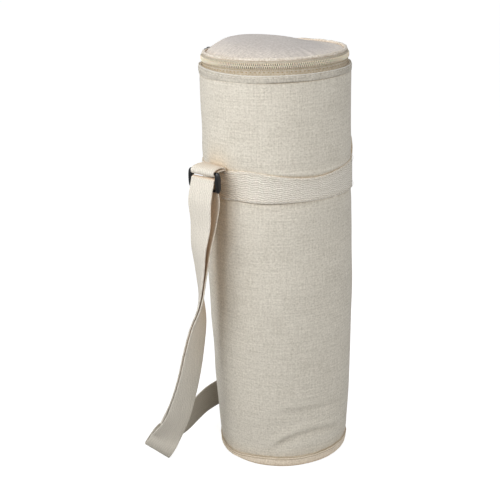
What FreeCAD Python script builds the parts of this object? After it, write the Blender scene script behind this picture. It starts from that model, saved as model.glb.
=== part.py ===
import FreeCAD, Part
import math
import os

# A round insulated bottle bag: lengths in millimetres, Z up, the bag's base centred on the origin.
# The front is -Y, the strap's two ends are sewn on at -X and +X, and the lid opens towards +Y.

V = FreeCAD.Vector
UP = V(0, 0, 1)
AXIS_START = V(0, 0, 0)

# Clearances
sewn_gap = 0.1
running_gap = 0.3
swing_gap = 0.8
overrun = 2.0
flat_limit = 0.000001

# Body
rim_radius = 60.6
belly_taper = 0.3
waist_taper = 3.0
base_taper = 6.2
waist_height = 60.0
belly_height = 150.0
wall_top = 327.1
canvas_thickness = 1.0
foam_thickness = 5.0
lining_thickness = 0.6
piping_radius = 3.6
piping_stand = 0.4
hidden_panel_count = 36
panel_count = 72
tape_panel_count = 60
end_panel_count = 5
piping_sides = 8

# Rim
hem_height = 6.1
hem_stand = 0.4

# Zip
chain_stand = 7.1
chain_half_width = 2.0
tape_setback = 3.0
tape_thickness = 0.6
tape_tuck = 5.0
tape_half_gap = 0.8
tooth_height = 1.7
tooth_pitch = 2.12
tooth_overlap = 0.5
tooth_foot_width = 1.1
tooth_head_width = 0.66
tape_rise = 1.0
stop_length = 1.8
back_middle = 90.0
tab_half_angle = 12.0
fixed_half_angle = 34.0
chain_end_half_angle = 15.7
slider_rest_angle = 116.0

# Slider and pull
slider_length = 9.2
slider_nose_width = 7.8
slider_tail_width = 6.6
slider_plate = 0.9
back_plate = 1.0
back_plate_width = 4.4
bail_span = 6.9
bail_wire = 0.9
bail_width = 1.6
bail_clear = 1.7
pull_length = 24.0
pull_width = 6.4
pull_neck_width = 4.6
pull_thickness = 1.0
pull_window_length = 4.4
pull_window_width = 2.3
pull_bar = 0.9
pull_hole_radius = 1.3

# Lid
lid_piping_radius = 2.0
lid_piping_inset = 1.6
crown = 10.0
lid_foam_lift = 1.2

# Band, loop and strap, with the angles in degrees where the loop lies on its bar
turn_steps = 7
loop_turn_start = 45
loop_turn_end = -170
webbing_width = 25.0
webbing_thickness = 1.5
band_bottom = 232.5
band_ease = 0.3
buckle_stand = 13.3
buckle_yaw = 9.0
bar_radius = 1.1
bar_pitch = 7.0
top_bar_lift = 0.4
frame_side_width = 3.5
frame_side_depth = 4.2
frame_margin = 1.5
frame_rounding = 1.2
slot_width = 25.6
wrap_drop = 15.0
ply_spread = 3.3
wrap_slack = 2.2
wrap_stand = 6.3
reach_stand = 46.1
side_stand = 14.1
strap_rise = 250.0
ply_gap = 0.5
tail_spread = 6.0
tail_slide = 1.2
fold_radius = 2.2
fold_rise = 8.0

# Derived sizes
belly_radius = rim_radius - belly_taper
waist_radius = rim_radius - waist_taper
base_radius = rim_radius - base_taper
tape_inner_radius = rim_radius - tape_setback
lid_piping_ring = tape_inner_radius - lid_piping_inset
base_thickness = canvas_thickness + sewn_gap
piping_ring = base_radius + piping_stand - piping_radius
piping_inside = piping_ring - piping_radius - sewn_gap
piping_height = piping_radius + sewn_gap
wall_bottom = piping_height + piping_radius + 2 * sewn_gap
rim_top = wall_top + sewn_gap + hem_height
chain_height = rim_top + chain_stand
lid_piping_height = chain_height + chain_half_width + 2 * sewn_gap + lid_piping_radius
foam_start = canvas_thickness + sewn_gap
lining_start = foam_start + foam_thickness + sewn_gap
wall_depth = lining_start + lining_thickness
tape_outer_radius = tape_inner_radius + tape_thickness
teeth_outer_radius = tape_outer_radius + tooth_height
band_top = band_bottom + webbing_width
seat_radius = rim_radius + band_ease
buckle_distance = seat_radius + buckle_stand
strap_reach = seat_radius + reach_stand
strap_side = seat_radius + side_stand
ply_step = webbing_thickness + sewn_gap
tape_bottom = rim_top - tape_tuck
mouth_radius = rim_radius - wall_depth
top_bar_height = band_top + top_bar_lift
bar_heights = [top_bar_height - bar_pitch * step for step in range(3)]
pitch_angle = math.degrees(tooth_pitch / (tape_outer_radius + tooth_height / 2))


def save(name, solids):
    # One file for each sub-part, with as many solids as the sub-part has
    shape = solids if isinstance(solids, Part.Shape) else Part.makeCompound(solids)
    shape.exportStep("parts/" + name + ".step")
    print(name, len(shape.Solids), round(shape.Volume), shape.isValid())
    return shape


def turned(shape, angle):
    # The shape turned about the bag's axis
    copy = shape.copy()
    copy.rotate(AXIS_START, UP, angle)
    return copy


def revolved(corners, start=0, sweep=360):
    # A closed profile of radius and height, turned round the bag's axis
    points = [V(radius, 0, height) for radius, height in corners]
    face = Part.Face(Part.makePolygon(points + points[:1]))
    return turned(face.revolve(AXIS_START, UP, sweep), start)


def panelled(corners, panels=hidden_panel_count, start=0, sweep=360):
    # The same for a layer of cloth or foam, in flat panels side by side
    rows = []
    for panel in range(panels + 1):
        turn = math.radians(start + sweep * panel / panels)
        rows.append([V(r * math.cos(turn), r * math.sin(turn), height) for r, height in corners])
    outlines = [rows[0], rows[-1]]
    if sweep == 360:
        rows[-1] = rows[0]
        outlines = []
    for one, two in zip(rows, rows[1:]):
        for index, (radius, height) in enumerate(corners):
            after = (index + 1) % len(corners)
            outline = [one[index], two[index], two[after], one[after]]
            if radius == 0:
                outline = outline[1:]
            if corners[after][0] == 0:
                outline = outline[:-1]
            if len(outline) > 2:
                outlines.append(outline)
    return closed([flat_face(outline) for outline in outlines])


def is_flat(outline):
    normal = (outline[1] - outline[0]).cross(outline[2] - outline[0]).normalize()
    return abs(normal.dot(outline[3] - outline[0])) < flat_limit


def flat_face(outline):
    return Part.Face(Part.makePolygon(outline + outline[:1]))


def twisted_face(outline):
    # The ruled surface between two straight edges that don't lie in one plane
    one = Part.makeLine(outline[0], outline[1])
    two = Part.makeLine(outline[3], outline[2])
    return Part.makeRuledSurface(one, two)


def closed(faces):
    # A solid closed by faces that meet edge to edge
    solid = Part.makeSolid(Part.makeShell(faces))
    if solid.Volume < 0:
        solid.reverse()
    return solid


def block(inner, outer, low, high):
    # The four corners of a ring's section
    return [(inner, low), (outer, low), (outer, high), (inner, high)]


def ring(inner, outer, low, high, start=0, sweep=360):
    return revolved(block(inner, outer, low, high), start, sweep)


def piping(centre_radius, section_radius, height):
    # A corded edge: a ring of many-sided section
    corners = []
    for side in range(piping_sides):
        angle = 2 * math.pi * (side + 0.5) / piping_sides
        reach = section_radius * math.cos(angle)
        rise = section_radius * math.sin(angle)
        corners.append((centre_radius + reach, height + rise))
    return panelled(corners, panel_count)


def wall_profile(outset, inset):
    # A wall layer between two insets from the outer canvas: a tapered foot, then nearly straight
    outline = [
        (base_radius, wall_bottom),
        (waist_radius, waist_height),
        (belly_radius, belly_height),
        (rim_radius, wall_top),
    ]
    outer = [(radius - outset, height) for radius, height in outline]
    inner = [(radius - inset, height) for radius, height in reversed(outline)]
    return outer + inner


def body_layers():
    save("outer_base", panelled(flat(piping_inside, 0, base_thickness), panel_count))
    save("base_piping", piping(piping_ring, piping_radius, piping_height))
    save("outer_shell", panelled(wall_profile(0, canvas_thickness), panel_count))
    foam_end = foam_start + foam_thickness
    save("foam_sleeve", panelled(wall_profile(foam_start, foam_end)))
    save("lining_sleeve", panelled(wall_profile(lining_start, wall_depth)))
    # The floor of the bag: foam inside the corded edge, its lining inside the side's lining
    foam_high = wall_bottom - lining_thickness
    save("foam_base", panelled(flat(piping_inside, base_thickness + sewn_gap, foam_high)))
    lining_low = foam_high + sewn_gap
    inside = base_radius - wall_depth - sewn_gap
    save("lining_base", panelled(flat(inside, lining_low, lining_low + lining_thickness)))
    print("inside floor", round(lining_low + lining_thickness, 2), "mouth radius", round(mouth_radius, 2))


def flat(radius, low, high):
    # The section of a round pad
    return [(0, low), (radius, low), (radius, high), (0, high)]


def rim():
    # The folded canvas hem outside the zip tape, and the bound lining edge inside it
    hem_inner = tape_outer_radius + sewn_gap
    section = block(hem_inner, rim_radius + hem_stand, wall_top + sewn_gap, rim_top)
    save("rim_hem", panelled(section, panel_count))
    facing_outer = tape_inner_radius - sewn_gap
    save("rim_facing", panelled(block(mouth_radius, facing_outer, wall_top + sewn_gap, rim_top)))


def tooth(direction):
    # One moulded coil head on the tape's outer face at angle 0, its tip across the chain's centre line
    foot = chain_height - direction * chain_half_width
    tip = chain_height + direction * tooth_overlap
    outline = [
        V(tape_outer_radius, -tooth_foot_width / 2, foot),
        V(tape_outer_radius, tooth_foot_width / 2, foot),
        V(tape_outer_radius, tooth_head_width / 2, tip),
        V(tape_outer_radius, -tooth_head_width / 2, tip),
    ]
    face = Part.Face(Part.makePolygon(outline + outline[:1]))
    return face.extrude(V(tooth_height, 0, 0))


def teeth(direction, start, end, phase):
    # A row of heads between two angles; the two rows are half a pitch apart, so they interlock
    first = math.ceil((start + pitch_angle / 2) / pitch_angle - phase)
    last = math.floor((end - pitch_angle / 2) / pitch_angle - phase)
    head = tooth(direction)
    return [turned(head, (number + phase) * pitch_angle) for number in range(first, last + 1)]


def zip_chain():
    tape_start = back_middle + tab_half_angle + 0.5 * pitch_angle
    tape_end = back_middle + 360 - tab_half_angle - 0.5 * pitch_angle
    row_start = back_middle + chain_end_half_angle
    row_end = back_middle + 360 - chain_end_half_angle
    lid_start = back_middle + fixed_half_angle
    lid_end = back_middle + 360 - fixed_half_angle
    lower_top = chain_height - tape_half_gap
    upper_low = chain_height + tape_half_gap
    upper_top = chain_height + chain_half_width + tape_rise
    inner, outer = tape_inner_radius, tape_outer_radius
    lower = block(inner, outer, tape_bottom, lower_top)
    upper = block(inner, outer, upper_low, upper_top)
    save("zip_lower_tape", panelled(lower, tape_panel_count, tape_start, tape_end - tape_start))
    save("zip_lower_teeth", teeth(1, row_start, row_end, 0))
    save("zip_upper_tape", panelled(upper, tape_panel_count, lid_start, lid_end - lid_start))
    save("zip_upper_teeth", teeth(-1, lid_start, lid_end, 0.5))
    # The last stretch of the upper half stays on the body each side of the hinge, where the slider parks
    cut = 0.25 * pitch_angle
    sides = [(tape_start, lid_start - cut), (lid_end + cut, tape_end)]
    save("zip_end_tapes", [panelled(upper, end_panel_count, a, b - a) for a, b in sides])
    rows = teeth(-1, row_start, lid_start, 0.5) + teeth(-1, lid_end, row_end, 0.5)
    save("zip_end_teeth", rows)
    # A clamped stop across both halves at each end of the chain
    stop = Part.makeBox(tooth_height, stop_length, 2 * chain_half_width)
    stop.translate(V(outer, -stop_length / 2, chain_height - chain_half_width))
    stop_angle = chain_end_half_angle - math.degrees((stop_length / 2 + running_gap) / outer)
    angles = [back_middle - stop_angle, back_middle + stop_angle]
    save("zip_stops", [turned(stop, angle) for angle in angles])


def hinge_tab():
    # The cloth tab at the back that the lid bends on, over the tape's two ends
    inner = tape_outer_radius + sewn_gap
    top = chain_height + chain_half_width + tape_rise
    start = back_middle - tab_half_angle
    sector = ring(inner, inner + canvas_thickness, rim_top + sewn_gap, top, start, 2 * tab_half_angle)
    save("lid_hinge_tab", sector)


def lid():
    save("lid_piping", piping(lid_piping_ring, lid_piping_radius, lid_piping_height))
    edge = lid_piping_ring - lid_piping_radius - sewn_gap
    outer = dome_profile(edge, lid_piping_height, crown)
    inner = dome_profile(edge - canvas_thickness, lid_piping_height, crown - canvas_thickness)
    save("lid_panel", panelled(outer + inner[::-1], panel_count))
    foam_edge = edge - canvas_thickness - sewn_gap
    lining_low = rim_top + running_gap + lid_foam_lift
    foam_low = lining_low + lining_thickness + sewn_gap
    top = dome_profile(foam_edge, lid_piping_height, crown - canvas_thickness - running_gap)
    save("lid_foam", panelled([(0, foam_low), (foam_edge, foam_low)] + top))
    save("lid_lining", panelled(flat(foam_edge, lining_low, lining_low + lining_thickness)))
    # The lid's stiff side wall, from the lining up to the piping, inside the slider's path
    outside = tape_inner_radius - 2 * running_gap - back_plate
    wall_high = lid_piping_height - lid_piping_radius - sewn_gap
    save("lid_side", panelled(block(foam_edge + sewn_gap, outside, lining_low, wall_high)))


def dome_profile(edge, height, rise):
    # From the lid's rim in to its crown
    shares = ((1.0, 0.0), (0.72, 0.52), (0.40, 0.86), (0.0, 1.0))
    return [(edge * out, height + rise * up) for out, up in shares]


def at_slider(shape):
    return turned(shape, slider_rest_angle)


def slider_outline(depth, radius):
    # The slider's Y-shaped plan, wide at the nose and narrow at the tail, seen from outside
    half = slider_length / 2
    nose = slider_nose_width / 2
    tail = slider_tail_width / 2
    waist = tail - running_gap / 3
    points = [
        V(radius, half, chain_height - tail),
        V(radius, half, chain_height + tail),
        V(radius, half / 4, chain_height + waist),
        V(radius, -half / 2, chain_height + nose),
        V(radius, -half, chain_height + nose * 0.8),
        V(radius, -half, chain_height - nose * 0.8),
        V(radius, -half / 2, chain_height - nose),
        V(radius, half / 4, chain_height - waist),
    ]
    face = Part.Face(Part.makePolygon(points + points[:1]))
    return face.extrude(V(depth, 0, 0))


def slider():
    half_angle = math.degrees(slider_length / 2 / teeth_outer_radius)
    flange_inner = tape_outer_radius + running_gap
    channel_top = teeth_outer_radius + running_gap * 1.3
    plate_outer = channel_top + slider_plate
    channel_half = chain_half_width + running_gap
    low = chain_height - slider_nose_width
    high = chain_height + slider_nose_width
    block = ring(flange_inner, plate_outer, low, high, -half_angle, 2 * half_angle)
    block = block.common(slider_outline(plate_outer, flange_inner / 2))
    channel = ring(flange_inner / 2, channel_top, chain_height - channel_half, chain_height + channel_half,
                   -2 * half_angle, 4 * half_angle)
    plate = block.cut(channel)
    # The bail is a low arch cast on the plate
    foot = plate_outer - slider_plate / 2
    top = plate_outer + bail_clear + bail_wire
    arch = Part.makeBox(top - foot, bail_span, bail_width)
    arch.translate(V(foot, -bail_span / 2, chain_height - bail_width / 2))
    window = Part.makeBox(bail_clear + plate_outer - foot, bail_span - 2 * bail_wire, bail_width + overrun)
    window.translate(V(foot, bail_wire - bail_span / 2, chain_height - bail_width / 2 - overrun / 2))
    arch = arch.cut(window)
    corners = [edge for edge in arch.Edges if edge.BoundBox.XMin > top - bail_wire / 2
               and edge.BoundBox.YLength < bail_wire / 2 and edge.BoundBox.ZLength > bail_wire]
    arch = arch.makeFillet(bail_wire * 0.8, corners)
    save("zip_slider", at_slider(plate.fuse(arch).removeSplitter()))
    back_outer = tape_inner_radius - running_gap
    lower = chain_height - back_plate_width / 2
    upper = chain_height + back_plate_width / 2
    rear = ring(back_outer - back_plate, back_outer, lower, upper, -half_angle, 2 * half_angle)
    save("slider_back_plate", at_slider(rear))
    return plate_outer


def pull(plate_outer):
    # The pull lies along the zip at rest, its cross bar under the bail
    bar_radius_place = plate_outer + bail_clear / 2
    low = bar_radius_place - pull_thickness / 2
    neck = pull_neck_width / 2
    wide = pull_width / 2
    end = -pull_length
    points = [
        V(low, end + wide, wide),
        V(low, -pull_window_length - pull_bar, neck),
        V(low, pull_bar / 2, neck),
        V(low, pull_bar / 2, -neck),
        V(low, -pull_window_length - pull_bar, -neck),
        V(low, end + wide, -wide),
    ]
    tip = Part.Arc(points[0], V(low, end, 0), points[-1]).toShape()
    lines = Part.makePolygon(points)
    outline = Part.Wire(Part.__sortEdges__(lines.Edges + [tip]))
    blade = Part.Face(outline).extrude(V(pull_thickness, 0, 0))
    window = Part.makeBox(pull_thickness + overrun, pull_window_length - pull_bar / 2, pull_window_width,
                          V(low - overrun / 2, -pull_window_length, -pull_window_width / 2))
    hole = Part.makeCylinder(pull_hole_radius, pull_thickness + overrun,
                             V(low - overrun / 2, end + wide, 0), V(1, 0, 0))
    blade = blade.cut(window).cut(hole)
    blade.translate(V(0, 0, chain_height))
    save("pull_tab", at_slider(blade))
    print("pull axis radius", round(bar_radius_place, 3))


def ribbon(stations, width, thickness, twisting=False):
    # A strap of even width through stations of a place and the direction its width points in,
    # its wide faces ruled where it is a twisting one, and the rest in flat triangles
    sections = []
    last = len(stations) - 1
    for index, (place, guide) in enumerate(stations):
        before = stations[max(index - 1, 0)][0]
        after = stations[min(index + 1, last)][0]
        along = (after - before).normalize()
        across = (guide - along * guide.dot(along)).normalize()
        face = along.cross(across).normalize()
        sections.append([place + across * (a * width / 2) + face * (b * thickness / 2)
                         for a, b in ((-1, -1), (1, -1), (1, 1), (-1, 1))])
    faces = [flat_face(sections[0]), flat_face(sections[-1])]
    for one, two in zip(sections, sections[1:]):
        for corner in range(4):
            beside = (corner + 1) % 4
            outline = [one[corner], one[beside], two[beside], two[corner]]
            if twisting and corner in (0, 2) and not is_flat(outline):
                faces.append(twisted_face(outline))
            else:
                faces.append(flat_face(outline[:3]))
                faces.append(flat_face([outline[0]] + outline[2:]))
    return closed(faces)


def buckle_frame():
    # Directions of the buckle: across its bars, and out from the bag
    yaw = math.radians(buckle_yaw)
    across = V(math.sin(yaw), -math.cos(yaw), 0)
    out = V(-math.cos(yaw), -math.sin(yaw), 0)
    return across, out


def buckle_place(out_distance, height):
    across, out = buckle_frame()
    return V(-buckle_distance, 0, height) + out * out_distance


def round_bar(radius, length):
    # A bar along Y of many-sided section
    sides = 12
    angles = [2 * math.pi * side / sides for side in range(sides)]
    corners = [V(radius * math.cos(a), 0, radius * math.sin(a)) for a in angles]
    return Part.Face(Part.makePolygon(corners + corners[:1])).extrude(V(0, length, 0))


def tri_glide():
    # Three round bars between two full side cheeks
    across, out = buckle_frame()
    low = bar_heights[-1] - frame_margin
    high = bar_heights[0] + frame_margin
    tall = (high - low) / 2
    corners = []
    for depth_side, height_side, start in ((1, 1, 0), (-1, 1, 90), (-1, -1, 180), (1, -1, 270)):
        middle_depth = depth_side * (frame_side_depth / 2 - frame_rounding)
        middle_height = (low + high) / 2 + height_side * (tall - frame_rounding)
        for step in range(4):
            angle = math.radians(start + 30 * step)
            corners.append(V(middle_depth + frame_rounding * math.cos(angle), 0,
                             middle_height + frame_rounding * math.sin(angle)))
    face = Part.Face(Part.makePolygon(corners + corners[:1]))
    solid = None
    for start in (-slot_width / 2 - frame_side_width, slot_width / 2):
        cheek = face.extrude(V(0, frame_side_width, 0))
        cheek.translate(V(0, start, 0))
        solid = cheek if solid is None else solid.fuse(cheek)
    reach = slot_width + frame_side_width
    for height in bar_heights:
        bar = round_bar(bar_radius, reach)
        bar.translate(V(0, -reach / 2, height))
        solid = solid.fuse(bar)
    solid.rotate(AXIS_START, UP, buckle_yaw)
    solid.translate(V(-buckle_distance, 0, 0))
    save("tri_glide", solid)


def around_bar(height, start, end):
    # Places of a strap's middle round a bar, from one angle to another, 0 pointing out and 90 up
    radius = bar_radius + running_gap + webbing_thickness / 2
    places = []
    for step in range(turn_steps + 1):
        angle = math.radians(start + (end - start) * step / turn_steps)
        places.append((radius * math.cos(angle), height + radius * math.sin(angle)))
    return places


def strap_loop():
    # The short loop: up from the band's top edge, out over the buckle's top bar and back under itself
    across, out = buckle_frame()
    inner_ply = seat_radius + webbing_thickness / 2
    outer_ply = inner_ply + ply_step
    foot = band_top + 2 * running_gap
    reach = buckle_distance - inner_ply
    top_shares = ((0, 0), (0, 0.11), (0.03, 0.188), (0.104, 0.22), (0.3, 0.26), (0.55, 0.275), (0.82, 0.24),
                  (1.03, 0.18))
    under_share = 0.34
    rise = buckle_distance - seat_radius - webbing_thickness
    places = [(inner_ply + reach * a, foot + rise * b) for a, b in top_shares]
    places = [(distance - buckle_distance, height) for distance, height in places]
    places += around_bar(bar_heights[0], loop_turn_start, loop_turn_end)
    places.append((outer_ply - buckle_distance + reach * under_share, foot + ply_step / 2))
    places.append((outer_ply - buckle_distance, foot + ply_step / 2))
    stations = []
    turning = reach - ply_step - frame_side_depth
    for distance, height in places:
        # The yaw grows from none at the bag to the buckle's own
        share = min(max((distance + frame_side_depth) / turning + 1, 0), 1)
        aside = out.y * (max(distance, -frame_side_depth) - turning / 2 * (1 - share ** 2))
        guide = V(across.x * share, across.y, 0)
        stations.append((V(out.x * distance - buckle_distance, aside, height), guide))
    save("strap_loop", ribbon(stations, webbing_width, webbing_thickness))


def strap_wrap():
    # The turn of the strap over the middle bar, both plies hanging past the lowest bar
    across, out = buckle_frame()
    middle = bar_heights[1]
    bottom = middle - wrap_drop
    close = bar_radius + running_gap + webbing_thickness / 2
    places = [(wrap_stand, bottom), (close + wrap_slack, bar_heights[2])]
    places += around_bar(middle, 0, 180)
    places += [(-close, bar_heights[2]), (-ply_spread, bottom)]
    stations = [(buckle_place(distance, height), across) for distance, height in places]
    save("strap_wrap", ribbon(stations, webbing_width, webbing_thickness))
    return bottom


# The strap's hanging run as shares of its reach, its sideways lie and its rise, with the width's heading
hang_shares = (
    (0.682, 0.013, 0.868, -88),
    (0.718, 0.016, 0.788, -99),
    (0.735, 0.024, 0.704, -111),
    (0.744, 0.045, 0.604, -128),
    (0.756, 0.099, 0.512, -154),
    (0.778, 0.156, 0.420, -165),
    (0.802, 0.217, 0.328, -171),
    (0.835, 0.304, 0.230, -179),
    (0.888, 0.403, 0.134, -192),
    (0.950, 0.475, 0.080, -208),
)
# The tail's distance outside that run and its slip sideways, down to where it ends
tail_shares = (
    (1.27, 1.2),
    (0.88, 0.7),
    (0.48, 0.2),
    (0.38, 0),
    (0.34, 0.3),
    (0.34, 0.5),
    (0.34, 0.5),
    (0.34, 0.5),
    (0.38, 0.5),
)
# The middle of the tight fold that stands on the floor, with the heading and lift of the strap's width there
fold_shares = (0.991, 0.549, 0.041)
fold_heading = -218
fold_lift = 36
# The run behind the bag, up to the other side
back_shares = (
    (-0.820, 0.650, 0.066),
    (-0.600, 0.760, 0.066),
    (-0.330, 0.890, 0.086),
    (-0.080, 0.960, 0.112),
    (0.200, 0.960, 0.190),
    (0.430, 0.800, 0.350),
    (0.590, 0.560, 0.540),
    (0.670, 0.290, 0.720),
    (0.690, 0.100, 0.855),
    (0.680, 0.020, 0.950),
)
# The last turn over the band's top edge, as shares of the strap's stand-off there
over_shares = ((1.0, 0.2), (0.9, 0.6), (0.55, 0.86), (0.2, 0.62), (0.03, 0.3), (0, 0))


def heading(angle, lift=0):
    turn = math.radians(angle)
    tilt = math.radians(lift)
    return V(math.cos(turn) * math.cos(tilt), math.sin(turn) * math.cos(tilt), math.sin(tilt))


def fold():
    # A hairpin round the width's own direction, then the first rise behind it
    reach, side, rise = fold_shares
    centre = V(-reach * strap_reach, side * strap_side, rise * strap_rise)
    width_way = heading(fold_heading, fold_lift)
    behind = heading(fold_heading + 270)
    down = width_way.cross(behind)
    stations = []
    for step in range(5):
        angle = math.radians(45 * step)
        place = centre - behind * (fold_radius * math.cos(angle)) + down * (fold_radius * math.sin(angle))
        stations.append((place, width_way))
    stations.append((centre + behind * (fold_radius * 1.6) - down * fold_rise, width_way))
    return stations


def strap(wrap_bottom):
    across, out = buckle_frame()
    start = wrap_bottom - swing_gap
    run = [(buckle_place(-ply_spread, start), across)]
    for reach, side, rise, angle in hang_shares:
        run.append((V(-reach * strap_reach, side * strap_side, rise * strap_rise), heading(angle)))
    tail = [(buckle_place(wrap_stand, start), across)]
    for (place, guide), (spread, slide) in zip(run[1:], tail_shares):
        away = V(guide.y, -guide.x, 0)
        step = max(tail_spread * spread, webbing_thickness + ply_gap)
        tail.append((place + away * step + guide * (slide * tail_slide), guide))
    run += fold()
    back = [V(a * strap_reach, b * strap_side, c * strap_rise) for a, b, c in back_shares]
    for index, place in enumerate(back):
        before = back[max(index - 1, 0)]
        after = back[min(index + 1, len(back) - 1)]
        outward = V(place.x, place.y, 0)
        run.append((place, (after - before).cross(outward).normalize()))
    # Over the top edge of the band, down to its seat
    foot = band_top + 2 * running_gap
    inner_ply = seat_radius + webbing_thickness / 2
    stand = back[-1].x - inner_ply
    for reach, rise in over_shares:
        run.append((V(inner_ply + stand * reach, 0, foot + stand * rise), V(0, 1, 0)))
    save("strap_run", ribbon(run, webbing_width, webbing_thickness, True))
    save("strap_tail", ribbon(tail, webbing_width, webbing_thickness, True))
    length = sum((b[0] - a[0]).Length for a, b in zip(run, run[1:]))
    print("strap run length", round(length))
    length = sum((b[0] - a[0]).Length for a, b in zip(tail, tail[1:]))
    print("strap tail length", round(length))


def band():
    section = block(seat_radius, seat_radius + webbing_thickness, band_bottom, band_top)
    save("webbing_band", panelled(section, panel_count))


os.makedirs("parts", exist_ok=True)
body_layers()
rim()
zip_chain()
hinge_tab()
lid()
pull(slider())
band()
tri_glide()
strap_loop()
strap(strap_wrap())
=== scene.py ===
import bpy
import math
import numpy as np
from mathutils import Matrix, Vector


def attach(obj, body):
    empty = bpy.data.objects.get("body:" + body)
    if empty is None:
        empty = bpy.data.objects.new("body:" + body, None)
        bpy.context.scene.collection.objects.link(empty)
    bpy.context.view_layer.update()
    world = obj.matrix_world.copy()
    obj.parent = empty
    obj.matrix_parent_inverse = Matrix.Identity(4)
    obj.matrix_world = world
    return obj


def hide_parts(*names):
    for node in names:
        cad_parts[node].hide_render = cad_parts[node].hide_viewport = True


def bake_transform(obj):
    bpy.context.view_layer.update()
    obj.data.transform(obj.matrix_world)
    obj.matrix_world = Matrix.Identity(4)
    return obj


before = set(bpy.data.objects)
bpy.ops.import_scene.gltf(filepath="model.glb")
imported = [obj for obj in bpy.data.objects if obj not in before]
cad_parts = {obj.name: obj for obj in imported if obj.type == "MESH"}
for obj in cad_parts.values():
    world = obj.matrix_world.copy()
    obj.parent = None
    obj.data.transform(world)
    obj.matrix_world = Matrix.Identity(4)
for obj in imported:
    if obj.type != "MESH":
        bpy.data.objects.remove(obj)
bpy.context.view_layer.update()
mm = 0.001  # shapes are worked out in millimetres, and their angles run from +X towards +Y
rng = np.random.default_rng(7)
turnFull = 2 * math.pi


def unit(vector):
    return vector / np.linalg.norm(vector, axis=-1, keepdims=True)


def hump(value, middle, spread):
    # A soft bump, one high at its middle
    return np.exp(-((value - middle) / spread) ** 2)


def humpAt(phi, degrees, spread):
    # The same round the bag, its middle in degrees and its spread in radians
    return hump(np.mod(phi, turnFull), math.radians(degrees), spread)


def drawPuckers(fewest, most, count):
    # Each has how many go round the bag, a phase and a size
    return [(rng.integers(fewest, most), rng.uniform(0, turnFull), rng.uniform(0.4, 1.0))
            for _ in range(count)]


def gather(puckers, phi):
    return sum(size * np.sin(number * phi + phase) for number, phase, size in puckers)


def lengthAlong(line):
    return np.concatenate([[0], np.cumsum(np.linalg.norm(np.diff(line, axis=0), axis=1))])


# Every builder below gives a part, and makeObject turns parts into one mesh
def gridPart(points, place, wrapFirst=False, caps=False):
    # A skin over rows of points. A row is a closed ring, and place says where its points lie on the cloth
    first, second = points.shape[:2]
    rows = np.arange(first if wrapFirst else first - 1)
    i, j = [index.ravel() for index in np.meshgrid(rows, np.arange(second), indexing="ij")]
    a, b = (i + 1) % first, (j + 1) % second
    faces = np.stack([i * second + j, a * second + j, a * second + b, i * second + b], axis=1)
    spots = np.stack([place[i, j], place[i + 1, j], place[i + 1, j + 1], place[i, j + 1]], axis=1)
    flat = points.reshape(-1, 3)
    p = flat[faces] - flat.mean(axis=0)
    volume = sum(np.einsum("ij,ij->i", p[:, 0], np.cross(p[:, k], p[:, k + 1])).sum() for k in (1, 2))
    ends = [list(range(second))[::-1], list(range((first - 1) * second, first * second))] if caps else []
    if volume < 0:  # the skin is inside out
        faces, spots = faces[:, ::-1], spots[:, ::-1]
        ends = [end[::-1] for end in ends]
    capSpots = [[place[0 if k < second else -1, k % second] for k in end] for end in ends]
    return {"points": flat, "faces": faces, "spots": spots, "caps": ends, "capSpots": capSpots}


def makeObject(name, parts, material, body=None):
    starts = np.cumsum([0] + [len(part["points"]) for part in parts]).tolist()
    faces, spots = [], []
    for part, start in zip(parts, starts):
        faces += (part["faces"] + start).tolist()
        spots.append(part["spots"].reshape(-1, 2))
    quads = len(faces)
    for part, start in zip(parts, starts):
        for end, capSpot in zip(part["caps"], part["capSpots"]):
            faces.append([k + start for k in end])
            spots.append(np.array(capSpot))
    mesh = bpy.data.meshes.new(name)
    mesh.from_pydata((np.concatenate([part["points"] for part in parts]) * mm).tolist(), [], faces)
    spots = np.concatenate(spots) * mm
    spots = np.concatenate([spots, np.zeros((len(spots), 1))], axis=1)
    layer = mesh.attributes.new("clothPlace", "FLOAT_VECTOR", "CORNER")
    layer.data.foreach_set("vector", spots.astype(np.float32).ravel())
    mesh.polygons.foreach_set("use_smooth", np.arange(len(faces)) < quads)
    mesh.materials.append(material)
    mesh.update()
    obj = bpy.data.objects.new(name, mesh)
    bpy.context.scene.collection.objects.link(obj)
    if body:
        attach(obj, body)
    return obj


def roundedProfile(corners, radius, spacing):
    # A closed outline with its corners eased and its long sides divided
    largestCut = 0.48  # of a side, so that two eased corners never meet
    points = [np.array(corner, float) for corner in corners]
    eased = []
    for index, here in enumerate(points):
        before, after = points[index - 1], points[(index + 1) % len(points)]
        cut = min([radius] + [largestCut * np.linalg.norm(other - here) for other in (before, after)])
        start, end = here + unit(before - here) * cut, here + unit(after - here) * cut
        for t in (0, 0.25, 0.5, 0.75, 1):
            eased.append((1 - t) ** 2 * start + 2 * t * (1 - t) * here + t * t * end)
    result = []
    for index, here in enumerate(eased):
        after = eased[(index + 1) % len(eased)]
        steps = max(1, int(np.linalg.norm(after - here) / spacing))
        result += [here + (after - here) * step / steps for step in range(steps)]
    return np.array(result)


def roundProfile(middle, height, radius, count):
    angle = turnFull * np.arange(count) / count
    return np.stack([middle + radius * np.cos(angle), height + radius * np.sin(angle)], axis=1)


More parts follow.
